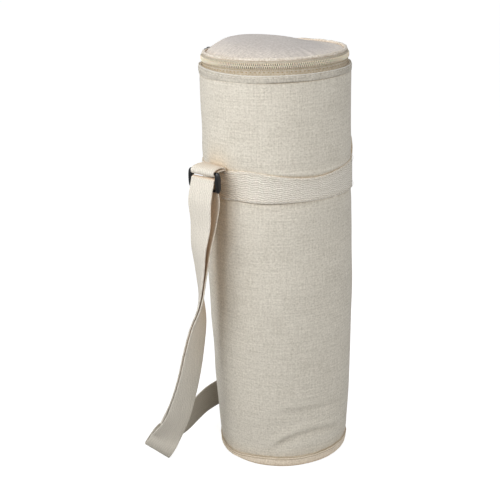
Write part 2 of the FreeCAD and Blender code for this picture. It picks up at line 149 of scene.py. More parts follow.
def turnedPart(profile, around, shape=None, start=0, sweep=360):
    # A closed outline of radius and height turned about the bag's axis, then shaped by a function of angle
    closed = sweep == 360
    columns = around if closed else around + 1
    phi = np.radians(start + sweep * np.arange(columns) / around)[:, None]
    radius = np.broadcast_to(profile[:, 0], (columns, len(profile))).copy()
    height = np.broadcast_to(profile[:, 1], (columns, len(profile))).copy()
    if shape:
        radius, height = shape(phi, radius, height)
    points = np.stack([radius * np.cos(phi), radius * np.sin(phi), height], axis=2)
    turns = np.radians(start + sweep * np.arange(columns + closed) / around)
    spread, along = turns * profile[:, 0].max(), lengthAlong(np.vstack([profile, profile[:1]]))
    place = np.stack(np.broadcast_arrays(spread[:, None], along[None, :]), axis=2)
    return gridPart(points, place, wrapFirst=closed, caps=not closed)


def boxPart(piece, shape=None, start=0, sweep=360):
    # A wall or ring. Its box is the inner and outer radius and the low and high edge
    inner, outer, low, high = piece["box"]
    corners = [(inner, low), (outer, low), (outer, high), (inner, high)]
    profile = roundedProfile(corners, piece["ease"], piece["spacing"])
    return turnedPart(profile, piece["around"], shape, start, sweep)


def unrollSpots(part, radius, heights):
    # Places on the cloth of a turned part: the way round at one radius, and a height for each point
    x, y = part["points"][:, 0], part["points"][:, 1]
    around = (np.mod(np.arctan2(y, x), turnFull) * radius)[part["faces"]]
    pastStart = around.max(axis=1, keepdims=True) - around > math.pi * radius
    around = np.where(pastStart, around + turnFull * radius, around)
    return np.stack([around, heights[part["faces"]]], axis=2)


def smoothPath(places, guides, spacing):
    # A smooth line through places, with a turning direction carried along it
    places, guides = np.array(places, float), np.array(guides, float)
    gaps = np.linalg.norm(np.diff(places, axis=0), axis=1)
    before, after = gaps[:-1, None], gaps[1:, None]

    def tangents(values):
        slopes = np.diff(values, axis=0) / gaps[:, None]
        inner = (slopes[:-1] * after + slopes[1:] * before) / (before + after)
        return np.vstack([slopes[:1], inner, slopes[-1:]])

    placeSlope, guideSlope = tangents(places), tangents(guides)
    line, lead = [], []
    for index, gap in enumerate(gaps):
        steps = max(3, int(gap / spacing))
        for step in range(steps + (1 if index == len(gaps) - 1 else 0)):
            t = step / steps
            weights = (2 * t**3 - 3 * t * t + 1, gap * (t**3 - 2 * t * t + t),
                       3 * t * t - 2 * t**3, gap * (t**3 - t * t))
            for values, slopes, target in ((places, placeSlope, line), (guides, guideSlope, lead)):
                target.append(weights[0] * values[index] + weights[1] * slopes[index]
                              + weights[2] * values[index + 1] + weights[3] * slopes[index + 1])
    line, lead = np.array(line), np.array(lead)
    along = unit(np.gradient(line, axis=0))
    across = unit(lead - along * np.sum(lead * along, axis=1, keepdims=True))
    return line, across, unit(np.cross(along, across))


def sectionOutline(width, thickness, steps=9):
    # A flat strap's section with rounded edges
    half, edge = width / 2 - thickness / 2, thickness / 2
    outline = [(-half + 2 * half * step / steps, edge) for step in range(steps + 1)]
    for angle in (60, 20, -20, -60):
        outline.append((half + edge * math.cos(math.radians(angle)), edge * math.sin(math.radians(angle))))
    outline += [(half - 2 * half * step / steps, -edge) for step in range(steps + 1)]
    for angle in (240, 200, 160, 120):
        outline.append((-half + edge * math.cos(math.radians(angle)), edge * math.sin(math.radians(angle))))
    return np.array(outline)


def ribbonPart(line, across, face, width, thickness, thicker=1.0):
    outline = sectionOutline(width, thickness)
    deep = np.broadcast_to(thicker, len(line))
    points = (line[:, None] + across[:, None] * outline[None, :, 0:1]
              + face[:, None] * (outline[None, :, 1:2] * deep[:, None, None]))
    spread = np.concatenate([outline[:, 0], outline[:1, 0]])
    place = np.stack(np.broadcast_arrays(lengthAlong(line)[:, None], spread[None, :]), axis=2)
    return gridPart(points, place, caps=True)


def bead(length, width, depth, bow, rings=6, sides=6):
    # A rounded rib lying along X, its back raised along Z
    endShare = 0.98  # the last rings stop just short of a point
    points = []
    for ring in range(rings + 1):
        s = -endShare + 2 * endShare * ring / rings
        swell = (1 - s**4) ** 0.5
        for side in range(sides):
            angle = turnFull * side / sides
            points.append((s * length / 2, swell * width / 2 * math.cos(angle),
                           swell * depth / 2 * math.sin(angle) + bow * (1 - s * s)))
    points = np.array(points).reshape(rings + 1, sides, 3)
    place = np.zeros((rings + 2, sides + 1, 2))
    place[..., 0] = np.linspace(0, length, rings + 2)[:, None]
    place[..., 1] = np.linspace(0, width * 3, sides + 1)[None, :]
    return gridPart(points, place, caps=True)


def scatterPart(template, places, alongs, outs):
    # Copies of one small part set at places, each with a direction along and a direction out
    spotStep = 0.37  # moves each copy on over the cloth, so that no two look alike
    alongs = unit(alongs)
    sides = unit(np.cross(outs, alongs))
    outs = np.cross(alongs, sides)
    t = template["points"]
    points = (places[:, None] + alongs[:, None] * t[None, :, 0:1] + sides[:, None] * t[None, :, 1:2]
              + outs[:, None] * t[None, :, 2:3])
    count = len(places)
    shift = np.arange(count) * len(t)
    faces = (template["faces"][None] + shift[:, None, None]).reshape(-1, 4)
    moved = np.repeat(shift * spotStep, len(template["faces"]))[:, None, None]
    spots = np.tile(template["spots"], (count, 1, 1)) + moved
    caps = [[k + start for k in end] for start in shift.tolist() for end in template["caps"]]
    return {"points": points.reshape(-1, 3), "faces": faces, "spots": spots, "caps": caps,
            "capSpots": template["capSpots"] * count}


def ringOf(radius, height, count, start=0, sweep=360):
    # Places, directions along and directions out for things set round the bag
    phi = np.radians(start + sweep * np.arange(count) / count)
    out = np.stack([np.cos(phi), np.sin(phi), np.zeros(count)], axis=1)
    along = np.stack([-np.sin(phi), np.cos(phi), np.zeros(count)], axis=1)
    radii = radius(phi) if callable(radius) else np.full(count, float(radius))
    return out * radii[:, None] + np.array([0, 0, height]), along, out


# Shader pieces
def addNode(tree, kind, inputs=None, **settings):
    node = tree.nodes.new(kind)
    for name, value in settings.items():
        setattr(node, name, value)
    for key, value in (inputs or {}).items():
        if isinstance(value, bpy.types.NodeSocket):
            tree.links.new(value, node.inputs[key])
        else:
            node.inputs[key].default_value = value
    return node


def compute(tree, operation, first, second=0.0, third=None):
    inputs = {0: first, 1: second}
    if third is not None:
        inputs[2] = third
    return addNode(tree, "ShaderNodeMath", inputs, operation=operation).outputs[0]


def addUp(tree, *values):
    total = values[0]
    for value in values[1:]:
        total = compute(tree, "ADD", total, value)
    return total


def vectorMath(tree, operation, *values):
    return addNode(tree, "ShaderNodeVectorMath", dict(enumerate(values)), operation=operation).outputs


def mixColours(tree, share, first, second, **settings):
    inputs = {"Factor": share, 6: first, 7: second}
    return addNode(tree, "ShaderNodeMix", inputs, data_type="RGBA", **settings).outputs[2]


def addNoise(tree, place, scale, detail, roughness=0.5):
    inputs = {"Vector": place, "Scale": scale, "Detail": detail, "Roughness": roughness}
    return addNode(tree, "ShaderNodeTexNoise", inputs).outputs


def mapRange(tree, value, low, high):
    return addNode(tree, "ShaderNodeMapRange", {"Value": value, "From Min": low, "From Max": high}).outputs[0]


def ownPlace(tree):
    return addNode(tree, "ShaderNodeTexCoord").outputs["Object"]


def makeGroup(name, inputs, outputs):
    group = bpy.data.node_groups.new(name, "ShaderNodeTree")
    for label, kind, value in inputs:
        socket = group.interface.new_socket(label, in_out="INPUT", socket_type="NodeSocket" + kind)
        if value is not None:
            socket.default_value = value
    for label, kind in outputs:
        group.interface.new_socket(label, in_out="OUTPUT", socket_type="NodeSocket" + kind)
    return group, addNode(group, "NodeGroupInput").outputs, addNode(group, "NodeGroupOutput").inputs


def looseThreads(group, place, scale, amounts):
    # The place on the cloth in millimetres, and its two ways once the threads wander a little
    scaled = vectorMath(group, "MULTIPLY", place, (1000, 1000, 1000))[0]
    wander = addNoise(group, scaled, scale, 2.0)["Color"]
    wandered = vectorMath(group, "MULTIPLY_ADD", wander, amounts, scaled)[0]
    return scaled, addNode(group, "ShaderNodeSeparateXYZ", {0: wandered}).outputs


weaveLook = {"wander": 0.35, "wanderBy": (0.6, 0.6, 0.6), "rib": 0.55, "crown": 0.3,
             "streaks": (((0.75, 0.05, 1), 0.45), ((0.04, 0.75, 1), 0.6), ((0.5, 0.8, 1), 1.0),
                         ((0.9, 0.45, 1), 0.8))}
herringboneLook = {"wander": 0.3, "wanderBy": (1.2, 0.9, 0.6), "swing": 4.0, "pick": 1.1, "pickShare": 0.35,
                   "crown": 0.36, "fuzz": 0.8, "streak": (0.05, 0.7, 1), "streakShare": 0.4,
                   "streakBase": 0.3}
toneLook = {"patch": 22.0, "patchRough": 0.6, "patchFrom": 0.4, "gapFrom": 0.62,
            "fleck": 900.0, "fleckFrom": 0.66}
wearLook = {"coarser": 8.0, "darker": (0.8, 0.8, 0.8), "roughSpread": 0.2}


def makePlainWeave():
    # Crossing threads: a checker of raised crowns, with thick and thin threads running both ways
    group, given, result = makeGroup(
        "plainWeave", [("Place", "Vector", None), ("Pitch", "Float", 1.3), ("Unevenness", "Float", 0.5)],
        [("Height", "Float"), ("Threads", "Float")])
    scaled, way = looseThreads(group, given["Place"], weaveLook["wander"], weaveLook["wanderBy"])
    waves = []
    for axis in ("X", "Y"):
        angle = compute(group, "DIVIDE", compute(group, "MULTIPLY", way[axis], turnFull), given["Pitch"])
        waves.append(compute(group, "SINE", angle))
    crossing = compute(group, "MULTIPLY", waves[0], waves[1])
    ribs = compute(group, "MULTIPLY", waves[0], weaveLook["rib"])
    streaks = []
    for stretch, share in weaveLook["streaks"]:
        noise = addNoise(group, vectorMath(group, "MULTIPLY", scaled, stretch)[0], 1.0, 1.0)["Fac"]
        streaks.append(compute(group, "MULTIPLY", compute(group, "SUBTRACT", noise, 0.5), share))
    uneven = addUp(group, *streaks)
    height = compute(group, "MULTIPLY_ADD", compute(group, "ADD", crossing, ribs), weaveLook["crown"], 0.5)
    lifted = compute(group, "MULTIPLY_ADD", uneven, given["Unevenness"], height)
    group.links.new(lifted, result["Height"])
    group.links.new(compute(group, "ADD", uneven, 1.0), result["Threads"])
    return group


def makeHerringbone():
    # Weft ribs along the strap, swung to and fro
    group, given, result = makeGroup(
        "herringbone", [("Place", "Vector", None), ("Rib", "Float", 1.9), ("Swing", "Float", 9.0),
                        ("Sway", "Float", 0.6)],
        [("Height", "Float"), ("Threads", "Float")])
    look = herringboneLook
    scaled, way = looseThreads(group, given["Place"], look["wander"], look["wanderBy"])
    zigzag = compute(group, "PINGPONG", compute(group, "DIVIDE", way["X"], given["Swing"]), 0.5)
    swung = compute(group, "MULTIPLY", zigzag, look["swing"])
    shifted = compute(group, "MULTIPLY_ADD", swung, given["Sway"], way["Y"])
    angle = compute(group, "DIVIDE", compute(group, "MULTIPLY", shifted, turnFull), given["Rib"])
    picks = compute(group, "SINE", compute(group, "MULTIPLY", way["X"], turnFull / look["pick"]))
    ribs = compute(group, "MULTIPLY_ADD", picks, look["pickShare"], compute(group, "SINE", angle))
    group.links.new(compute(group, "MULTIPLY_ADD", ribs, look["crown"], 0.5), result["Height"])
    fuzz = addNoise(group, scaled, look["fuzz"], 2.0)["Fac"]
    streak = addNoise(group, vectorMath(group, "MULTIPLY", scaled, look["streak"])[0], 1.0, 1.0)["Fac"]
    longThreads = compute(group, "MULTIPLY_ADD", streak, look["streakShare"], look["streakBase"])
    group.links.new(compute(group, "ADD", fuzz, longThreads), result["Threads"])
    return group


def makeTone():
    # Patchy tone, darker gaps between threads and small flecks over a base colour, then painted shade where
    # the cloth lies in a narrow gap
    group, given, result = makeGroup(
        "clothTone", [("Base", "Color", (0.7, 0.65, 0.57, 1)), ("Shade", "Color", (0.5, 0.45, 0.38, 1)),
                      ("Height", "Float", 0.5), ("Threads", "Float", 1.0), ("Patches", "Float", 0.3),
                      ("Gaps", "Float", 0.3), ("Flecks", "Float", 0.2), ("Streaks", "Float", 1.5),
                      ("Tint", "Color", (0.9, 0.76, 0.59, 1)), ("Shade Reach", "Float", 0.02)],
        [("Colour", "Color")])
    spot = ownPlace(group)
    patches = addNoise(group, spot, toneLook["patch"], 4.0, toneLook["patchRough"])["Fac"]
    flecks = addNoise(group, spot, toneLook["fleck"], 2.0)["Fac"]
    shares = []
    for operation, first, second, amount in (
            ("SUBTRACT", patches, toneLook["patchFrom"], given["Patches"]),
            ("SUBTRACT", toneLook["gapFrom"], given["Height"], given["Gaps"]),
            ("GREATER_THAN", flecks, toneLook["fleckFrom"], given["Flecks"]),
            ("SUBTRACT", 1.0, given["Threads"], given["Streaks"])):
        shares.append(compute(group, "MULTIPLY", compute(group, operation, first, second), amount))
    total = addUp(group, *shares)
    mixed = mixColours(group, total, given["Base"], given["Shade"], clamp_factor=False)
    # Painted shade: cloth in a narrow gap is multiplied towards a darker, warm tint, standing in for the
    # shade there and the warm light off the cloth across it
    closeness = addNode(group, "ShaderNodeAmbientOcclusion", {"Distance": given["Shade Reach"]}, samples=8)
    deep = compute(group, "SUBTRACT", 1.0, closeness.outputs["AO"])
    gapShaded = mixColours(group, deep, mixed, given["Tint"], blend_type="MULTIPLY")
    group.links.new(gapShaded, result["Colour"])
    return group


def makeWear():
    # Fine grain and soft wear for everything that isn't woven
    group, given, result = makeGroup(
        "surfaceWear", [("Base", "Color", (0.5, 0.5, 0.5, 1)), ("Rough", "Float", 0.5),
                        ("Grain Scale", "Float", 400.0)],
        [("Colour", "Color"), ("Roughness", "Float"), ("Grain", "Float")])
    spot = ownPlace(group)
    grain = addNoise(group, spot, given["Grain Scale"], 3.0)["Fac"]
    coarse = compute(group, "DIVIDE", given["Grain Scale"], wearLook["coarser"])
    wear = addNoise(group, spot, coarse, 4.0)["Fac"]
    worn = vectorMath(group, "MULTIPLY", given["Base"], wearLook["darker"])[0]
    spreadOut = compute(group, "MULTIPLY_ADD", wear, wearLook["roughSpread"], -wearLook["roughSpread"] / 2)
    group.links.new(mixColours(group, wear, given["Base"], worn), result["Colour"])
    group.links.new(compute(group, "ADD", spreadOut, given["Rough"]), result["Roughness"])
    group.links.new(grain, result["Grain"])
    return group


weaveGroup, herringboneGroup = makePlainWeave(), makeHerringbone()
toneGroup, wearGroup = makeTone(), makeWear()


def startMaterial(name):
    material = bpy.data.materials.new(name)
    material.use_nodes = True
    material.node_tree.nodes.clear()
    return material, material.node_tree


def endMaterial(tree, shader):
    addNode(tree, "ShaderNodeOutputMaterial", {"Surface": shader.outputs[0]})


def opaque(colour):
    return (*colour, 1)


# The tint and reach give painted shade in narrow gaps, and the low tint gives a darker painted shade near the
# floor
def clothMaterial(name, base, shade, pattern=weaveGroup, sizes=None, bump=0.35, depth=0.0004, rough=0.9,
                  sheen=0.15, tone=(0.3, 0.3, 0.2), streaks=1.5, paintedShade=(0.9, 0.76, 0.59), reach=0.02,
                  rim=None, floorShade=None):
    material, tree = startMaterial(name)
    place = addNode(tree, "ShaderNodeAttribute", attribute_name="clothPlace").outputs["Vector"]
    cloth = addNode(tree, "ShaderNodeGroup", {"Place": place, **(sizes or {})}, node_tree=pattern).outputs
    bases, paintedShades = opaque(base), opaque(paintedShade)
    if rim:  # another base colour towards the edge of a round panel
        level = vectorMath(tree, "MULTIPLY", ownPlace(tree), (1, 1, 0))[0]
        near = mapRange(tree, vectorMath(tree, "LENGTH", level)["Value"], 0.036, 0.055)
        bases = mixColours(tree, near, bases, opaque(rim))
    if floorShade:  # a darker, greyer painted shade near the floor, where the strap lies in shade
        height = addNode(tree, "ShaderNodeSeparateXYZ", {0: ownPlace(tree)}).outputs["Z"]
        paintedShades = mixColours(tree, mapRange(tree, height, 0.07, 0.15), opaque(floorShade), paintedShades)
    patches, gaps, flecks = tone
    colour = addNode(tree, "ShaderNodeGroup", {
        "Base": bases, "Shade": opaque(shade), "Height": cloth["Height"], "Threads": cloth["Threads"],
        "Patches": patches, "Gaps": gaps, "Flecks": flecks, "Streaks": streaks, "Tint": paintedShades,
        "Shade Reach": reach}, node_tree=toneGroup)
    raised = addNode(tree, "ShaderNodeBump", {"Strength": bump, "Distance": depth, "Height": cloth["Height"]})
    shader = addNode(tree, "ShaderNodeBsdfPrincipled", {
        "Base Color": colour.outputs["Colour"], "Roughness": rough, "Normal": raised.outputs[0],
        "Sheen Weight": sheen, "Sheen Roughness": 0.5, "Specular IOR Level": 0.15})
    endMaterial(tree, shader)
    return material


def plainMaterial(name, base, rough, grain=0.1, grainScale=400.0, coat=0.0, shine=0.5, scatter=0.0):
    material, tree = startMaterial(name)
    wear = addNode(tree, "ShaderNodeGroup", {"Base": opaque(base), "Rough": rough, "Grain Scale": grainScale},
                   node_tree=wearGroup).outputs
    raised = addNode(tree, "ShaderNodeBump", {"Strength": grain, "Distance": 0.0003, "Height": wear["Grain"]})
    shader = addNode(tree, "ShaderNodeBsdfPrincipled", {
        "Base Color": wear["Colour"], "Roughness": wear["Roughness"], "Normal": raised.outputs[0],
        "Coat Weight": coat, "Specular IOR Level": shine, "Subsurface Weight": scatter,
        "Subsurface Scale": 0.001})
    endMaterial(tree, shader)
    return material


def repaintNode(node, material):
    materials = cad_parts[node].data.materials
    materials.clear()
    materials.append(material)


# A cloth's tone is its patches, gaps and flecks. Its tint is painted shade for cloth in narrow gaps, and
# reach is how far away the other cloth may be
canvasCloth = clothMaterial("canvasCloth", base=(0.705, 0.657, 0.566), shade=(0.50, 0.455, 0.375),
                            sizes={"Pitch": 1.3}, tone=(0.45, 0.35, 0.25), streaks=1.45)
lidCloth = clothMaterial("lidCloth", base=(0.60, 0.55, 0.515), shade=(0.46, 0.415, 0.375),
                         sizes={"Pitch": 1.2}, tone=(1.0, 0.4, 0.2), streaks=1.6, rim=(0.70, 0.635, 0.565))
ridgeCloth = clothMaterial("ridgeCloth", base=(0.76, 0.69, 0.60), shade=(0.52, 0.44, 0.34),
                           sizes={"Pitch": 0.9}, bump=0.5, tone=(0.8, 0.4, 0.2), streaks=1.6)
# The hem's base colour is darker than the canvas it is folded from: painted shade under the lid's edge
hemCloth = clothMaterial("hemCloth", base=(0.61, 0.565, 0.485), shade=(0.42, 0.38, 0.32),
                         sizes={"Pitch": 1.2}, tone=(1.2, 0.35, 0.2), streaks=1.7, reach=0.004)
webbingCloth = clothMaterial("webbingCloth", base=(0.80, 0.75, 0.66), shade=(0.50, 0.45, 0.37),
                             pattern=herringboneGroup, bump=0.6, depth=0.0006, tone=(0.3, 0.8, 0.2),
                             streaks=1.6, paintedShade=(0.75, 0.61, 0.46), reach=0.05)
# The strap's low tint is a darker painted shade near the floor
strapCloth = clothMaterial("strapCloth", base=(0.77, 0.72, 0.63), shade=(0.50, 0.455, 0.38),
                           pattern=herringboneGroup, bump=0.4, tone=(0.3, 0.6, 0.2), streaks=1.1,
                           paintedShade=(0.88, 0.67, 0.47), reach=0.05, floorShade=(0.46, 0.44, 0.41))
edgeCloth = clothMaterial("edgeCloth", base=(0.81, 0.70, 0.565), shade=(0.58, 0.47, 0.35),
                          sizes={"Pitch": 0.5}, bump=0.15, tone=(0.4, 0.1, 0.1), paintedShade=(1.0, 0.92, 0.8),
                          reach=0.006)
tapeCloth = clothMaterial("tapeCloth", base=(0.53, 0.475, 0.385), shade=(0.36, 0.305, 0.22),
                          sizes={"Pitch": 0.8}, bump=0.3, tone=(0.3, 0.4, 0.1), paintedShade=(1.0, 0.9, 0.75),
                          reach=0.006)
liningCloth = clothMaterial("liningCloth", base=(0.52, 0.53, 0.54), shade=(0.36, 0.37, 0.38),
                            sizes={"Pitch": 0.9}, bump=0.2, rough=0.45, sheen=0.0, tone=(0.5, 0.3, 0.1),
                            streaks=0.3)
foamStuff = plainMaterial("foamStuff", (0.78, 0.78, 0.75), 0.85, grain=0.5, grainScale=900, shine=0.2)
coilPlastic = plainMaterial("coilPlastic", (0.99, 0.89, 0.72), 0.42, grain=0.05, shine=0.4, scatter=0.1)
whiteThread = plainMaterial("whiteThread", (0.80, 0.77, 0.70), 0.8, grain=0.6, grainScale=3000, shine=0.2)
footThread = plainMaterial("footThread", (0.50, 0.41, 0.28), 0.85, grain=0.6, grainScale=3000, shine=0.15)
tanThread = plainMaterial("tanThread", (0.45, 0.33, 0.19), 0.85, grain=0.6, grainScale=3000, shine=0.15)
blackAcetal = plainMaterial("blackAcetal", (0.012, 0.012, 0.013), 0.32, grain=0.1, grainScale=1500)
blackLacquer = plainMaterial("blackLacquer", (0.016, 0.015, 0.015), 0.3, grain=0.15, grainScale=1200,
                             coat=0.4)
print("materials ready")


# The body's cloth wall. Its profile gives heights and radii
bodyWall = {
    "profile": ((0.0, 54.0), (7.6, 54.4), (60.0, 57.6), (150.0, 60.3), (327.1, 60.6), (360.0, 60.6)),
    "soften": (-14, -9, -4, 0, 4, 9, 14), "low": 7.7, "high": 328.0, "thick": 0.9,
    "around": 600, "rise": 1.35, "unroll": 60.0, "ripple": 0.28 / 3, "pucker": 0.08,
    "seams": ((9, 7, 1.0), (326, 8, 1.0), (232, 7, 0.6)),  # height, spread, share of the puckers
    "swells": ((245, 14, -0.35), (268, 8, 0.3), (222, 8, 0.25)),  # height, spread, how far out
    "outsideFrom": 0.8, "outsideTo": 0.4, "insideEnds": 8, "insideSteps": 40,
    "topEdge": ((0.0, -0.2), (-0.25, 0.0), (-0.7, 0.0), (-0.9, -0.3)),  # out from the face, up from the end
    "footEdge": ((-0.9, 0.4), (-0.7, 0.0), (-0.5, 0.0), (-0.15, 0.3)),
    "footTuck": 0.5, "tuckSpread": 1.2,
}
rightSwell = {"angle": 300, "spread": 0.45, "outwards": 1.6, "low": 4, "lowFade": 14, "high": 228,
              "highFade": 70}
footSag = {"angle": 176, "spread": 0.36, "down": 3.4, "below": 16, "fade": 8}
# A crease's path gives angles in degrees and heights. Below is the width of its lower slope
creases = (
    {"path": ((221, 17.7), (231, 25), (242, 29.6), (258, 31.3), (292, 27.2)), "depth": 1.6, "width": 2.0,
     "below": 6.5, "bulge": 1.0, "offset": 5.0, "spread": 4.0},
    {"path": ((225, 52.5), (260, 52.7), (296, 49.6)), "depth": 0.7, "width": 2.4,
     "below": 5.0, "bulge": 0.5, "offset": 5.5, "spread": 4.5},
    {"path": ((165, 97), (186, 97.6), (213, 104.3)), "depth": 0.35, "width": 3.0,
     "below": 3.0, "bulge": 0.3, "offset": 6.0, "spread": 5.0},
    {"path": ((164, 312.4), (193, 312.5), (212, 310)), "depth": 0.25, "width": 2.5,
     "below": 2.5, "bulge": 0.2, "offset": 5.0, "spread": 4.0},
    {"path": ((222, 259.4), (240, 257.0), (262, 255.2), (286, 257.2), (310, 259.4)), "depth": -1.15,
     "width": 1.7, "below": 1.7, "bulge": 0.25, "offset": 6.0, "spread": 5.0},
)
creaseEnds = {"slope": 5, "share": 0.12, "bulgeReach": 30}
waves = [(rng.integers(1, 6), rng.uniform(turnFull / 150, turnFull / 45) * rng.choice([-1, 1]),
          rng.uniform(0, turnFull), rng.uniform(0.4, 1.0)) for _ in range(14)]
puckers = drawPuckers(20, 52, 7)


def creaseField(phi, height):
    # How far the creases push the wall out or in
    x = np.mod(phi, turnFull) * bodyWall["unroll"]
    x, height = np.broadcast_arrays(x, height)
    total = np.zeros(x.shape)
    for crease in creases:
        path = np.array(crease["path"], float)
        path[:, 0] = np.radians(path[:, 0]) * bodyWall["unroll"]
        nearest, signed, share = np.full(x.shape, 1e6), np.zeros(x.shape), np.zeros(x.shape)
        for index, (start, end) in enumerate(zip(path, path[1:])):
            run = end - start
            t = np.clip(((x - start[0]) * run[0] + (height - start[1]) * run[1]) / (run @ run), 0, 1)
            gapX, gapZ = x - start[0] - t * run[0], height - start[1] - t * run[1]
            gap = np.hypot(gapX, gapZ)
            closer = gap < nearest
            nearest = np.where(closer, gap, nearest)
            signed = np.where(closer, gap * np.sign(gapZ), signed)
            share = np.where(closer, (index + t) / (len(path) - 1), share)
        fade = np.clip(np.minimum(share, 1 - share) * creaseEnds["slope"] + creaseEnds["share"], 0, 1)
        width = np.where(signed < 0, crease["below"], crease["width"])
        bulge = crease["bulge"] * hump(signed, crease["offset"], crease["spread"])
        total -= crease["depth"] * hump(nearest, 0, width) * fade
        total += bulge * fade * (nearest < creaseEnds["bulgeReach"])
    return total


def footDrop(phi):
    # The wall hangs a little over the strip at the left
    return footSag["down"] * humpAt(phi, footSag["angle"], footSag["spread"])


def bodyRadius(phi, height):
    s, side = bodyWall, rightSwell
    heights, radii = zip(*s["profile"])
    radius = sum(np.interp(height + shift, heights, radii) for shift in s["soften"]) / len(s["soften"])
    for number, climb, phase, size in waves:
        radius = radius + s["ripple"] * size * np.sin(number * phi + climb * height + phase)
    seams = sum(share * hump(height, middle, spread) for middle, spread, share in s["seams"])
    radius = radius + s["pucker"] * seams * gather(puckers, phi)
    # The band draws the wall in a little, and the cloth swells beside it
    radius = radius + sum(out * hump(height, middle, spread) for middle, spread, out in s["swells"])
    lower = np.clip((height - side["low"]) / side["lowFade"], 0, 1)
    upper = np.clip((side["high"] - height) / side["highFade"], 0, 1)
    radius = radius + side["outwards"] * humpAt(phi, side["angle"], side["spread"]) * lower * upper
    return radius + creaseField(phi, height)


def buildBody():
    # The outline holds distances from the wall's outer face
    s, low, high = bodyWall, bodyWall["low"], bodyWall["high"]
    outline = [(0.0, z) for z in np.arange(low + s["outsideFrom"], high - s["outsideTo"], s["rise"])]
    outline += [(out, high + up) for out, up in s["topEdge"]]
    ends = s["insideEnds"]
    outline += [(-s["thick"], z) for z in np.linspace(high - ends, low + ends, s["insideSteps"])]
    outline += [(out, low + up) for out, up in s["footEdge"]]

    def shape(phi, inset, height):
        sagging = footDrop(phi) * np.clip((footSag["below"] - height) / footSag["fade"], 0, 1)
        tuck = s["footTuck"] * hump(height, low, s["tuckSpread"])
        return bodyRadius(phi, height) + inset - tuck, height - sagging

    part = turnedPart(np.array(outline), s["around"], shape)
    part["spots"] = unrollSpots(part, s["unroll"], part["points"][:, 2])
    return part


body = makeObject("bodyCanvas", [buildBody()], canvasCloth, "root")
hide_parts("outer_shell")
print("body ready")

# Foam and lining inside the wall, as distances from its outer face, and the pads of the floor
foamSleeve = {"box": (-6.1, -1.15, 7.7, 327.0), "ease": 0.6, "spacing": 4.0, "around": 180}
liningSleeve = {"box": (-6.85, -6.45, 7.7, 327.0), "ease": 0.2, "spacing": 4.0, "around": 240,
                "seenBelow": -6.5, "hiddenShare": 0.3,
                "crumples": ((0.12, 9, 1 / 7), (0.1, 17, -1 / 5), (0.06, 31, 0))}  # depth, how many, climb
padShape = {"middle": 0.02, "flat": 1.5, "rimSteps": (1.0, 0.5, 0.15), "ease": 1.2, "slope": 0.25,
            "rings": 16, "around": 120}
floorPads = {"radius": 47.4, "foam": (1.2, 6.9), "lining": (7.0, 7.6), "canvas": (0.0, 1.1),
             "crumple": 0.12, "crumpleAbove": 7.3, "crumpleStep": 5, "crumples": 3}


def foamShape(phi, radius, height):
    return bodyRadius(phi, height) + radius, height


def liningShape(phi, radius, height):
    crumples = liningSleeve["crumples"]
    crumple = sum(size * np.sin(number * phi + height * climb) for size, number, climb in crumples)
    share = np.where(radius < liningSleeve["seenBelow"], 1, liningSleeve["hiddenShare"])
    return bodyRadius(phi, height) + radius + crumple * share, height


def floorShape(phi, radius, height):
    s = floorPads
    crumple = s["crumple"] * np.sin(radius / s["crumpleStep"]) * np.cos(s["crumples"] * phi)
    return radius, height + np.where(height > s["crumpleAbove"], crumple, 0)


def padPart(radius, low, high, shape=None):
    # A round pad with an eased upper edge, closed at its middle
    s = padShape
    flat = np.linspace(s["middle"], radius - s["flat"], s["rings"])
    rings = np.concatenate([flat, [radius - step for step in s["rimSteps"]]])
    ease = radius - s["ease"]
    upper = [(r, high if r < ease else high - s["slope"] * (r - ease)) for r in rings[::-1]]
    lower = [(r, low) for r in rings]
    return turnedPart(np.array(lower + [(radius, (low + high) / 2)] + upper), s["around"], shape)


foam = makeObject("foamWall", [boxPart(foamSleeve, foamShape)], foamStuff, "root")
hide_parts("foam_sleeve")
lining = makeObject("liningWall", [boxPart(liningSleeve, liningShape)], liningCloth, "root")
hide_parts("lining_sleeve")
for name, key, material, node, slot, shape in (
        ("foamFloor", "foam", foamStuff, "foam_base", "foam", floorShape),
        ("liningFloor", "lining", liningCloth, "lining_base", "lining", floorShape),
        ("baseCanvas", "canvas", canvasCloth, "outer_base", "canvas", None)):
    pad = makeObject(name, [padPart(floorPads["radius"], *floorPads[key], shape)], material, "root")
    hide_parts(node)
print("foam and lining ready")

# The smooth edge strip at the foot, with two thin tan lines on it
footStrip = {"corners": ((47.6, 1.4), (48.2, 0.3), (53.3, 0.15), (55.2, 2.4), (55.2, 9.6), (54.85, 10.0),
                         (54.7, 8.2), (53.2, 7.4), (48.2, 7.4)),
             "ease": 1.4, "spacing": 0.8, "around": 360, "top": 10, "outerFrom": 52, "followFrom": 54.5,
             "wallHeight": 9.0, "wallRadius": 54.55, "rooted": 2, "climb": 5,
             "dents": ((5, 1.0, 0.12), (11, 0.0, 0.08), (37, 0.0, 0.05))}  # how many, phase, depth
footLine = {"heights": (7.6, 9.5), "radius": 0.315, "sides": 6, "lift": 0.62, "around": 480,
            "twist": 0.06, "twists": 150, "wander": 0.08, "wanders": 7}


def stripShape(phi, radius, height):
    s = footStrip
    dent = gather(s["dents"], phi)
    follow = np.clip((height - s["rooted"]) / s["climb"], 0, 1) * (radius > s["followFrom"])
    wall = bodyRadius(phi, np.full(radius.shape, s["wallHeight"])) - s["wallRadius"]
    sagging = footDrop(phi) / s["top"] * (height > s["rooted"])
    return radius + dent * (radius > s["outerFrom"]) + follow * (wall - dent), height * (1 - sagging)


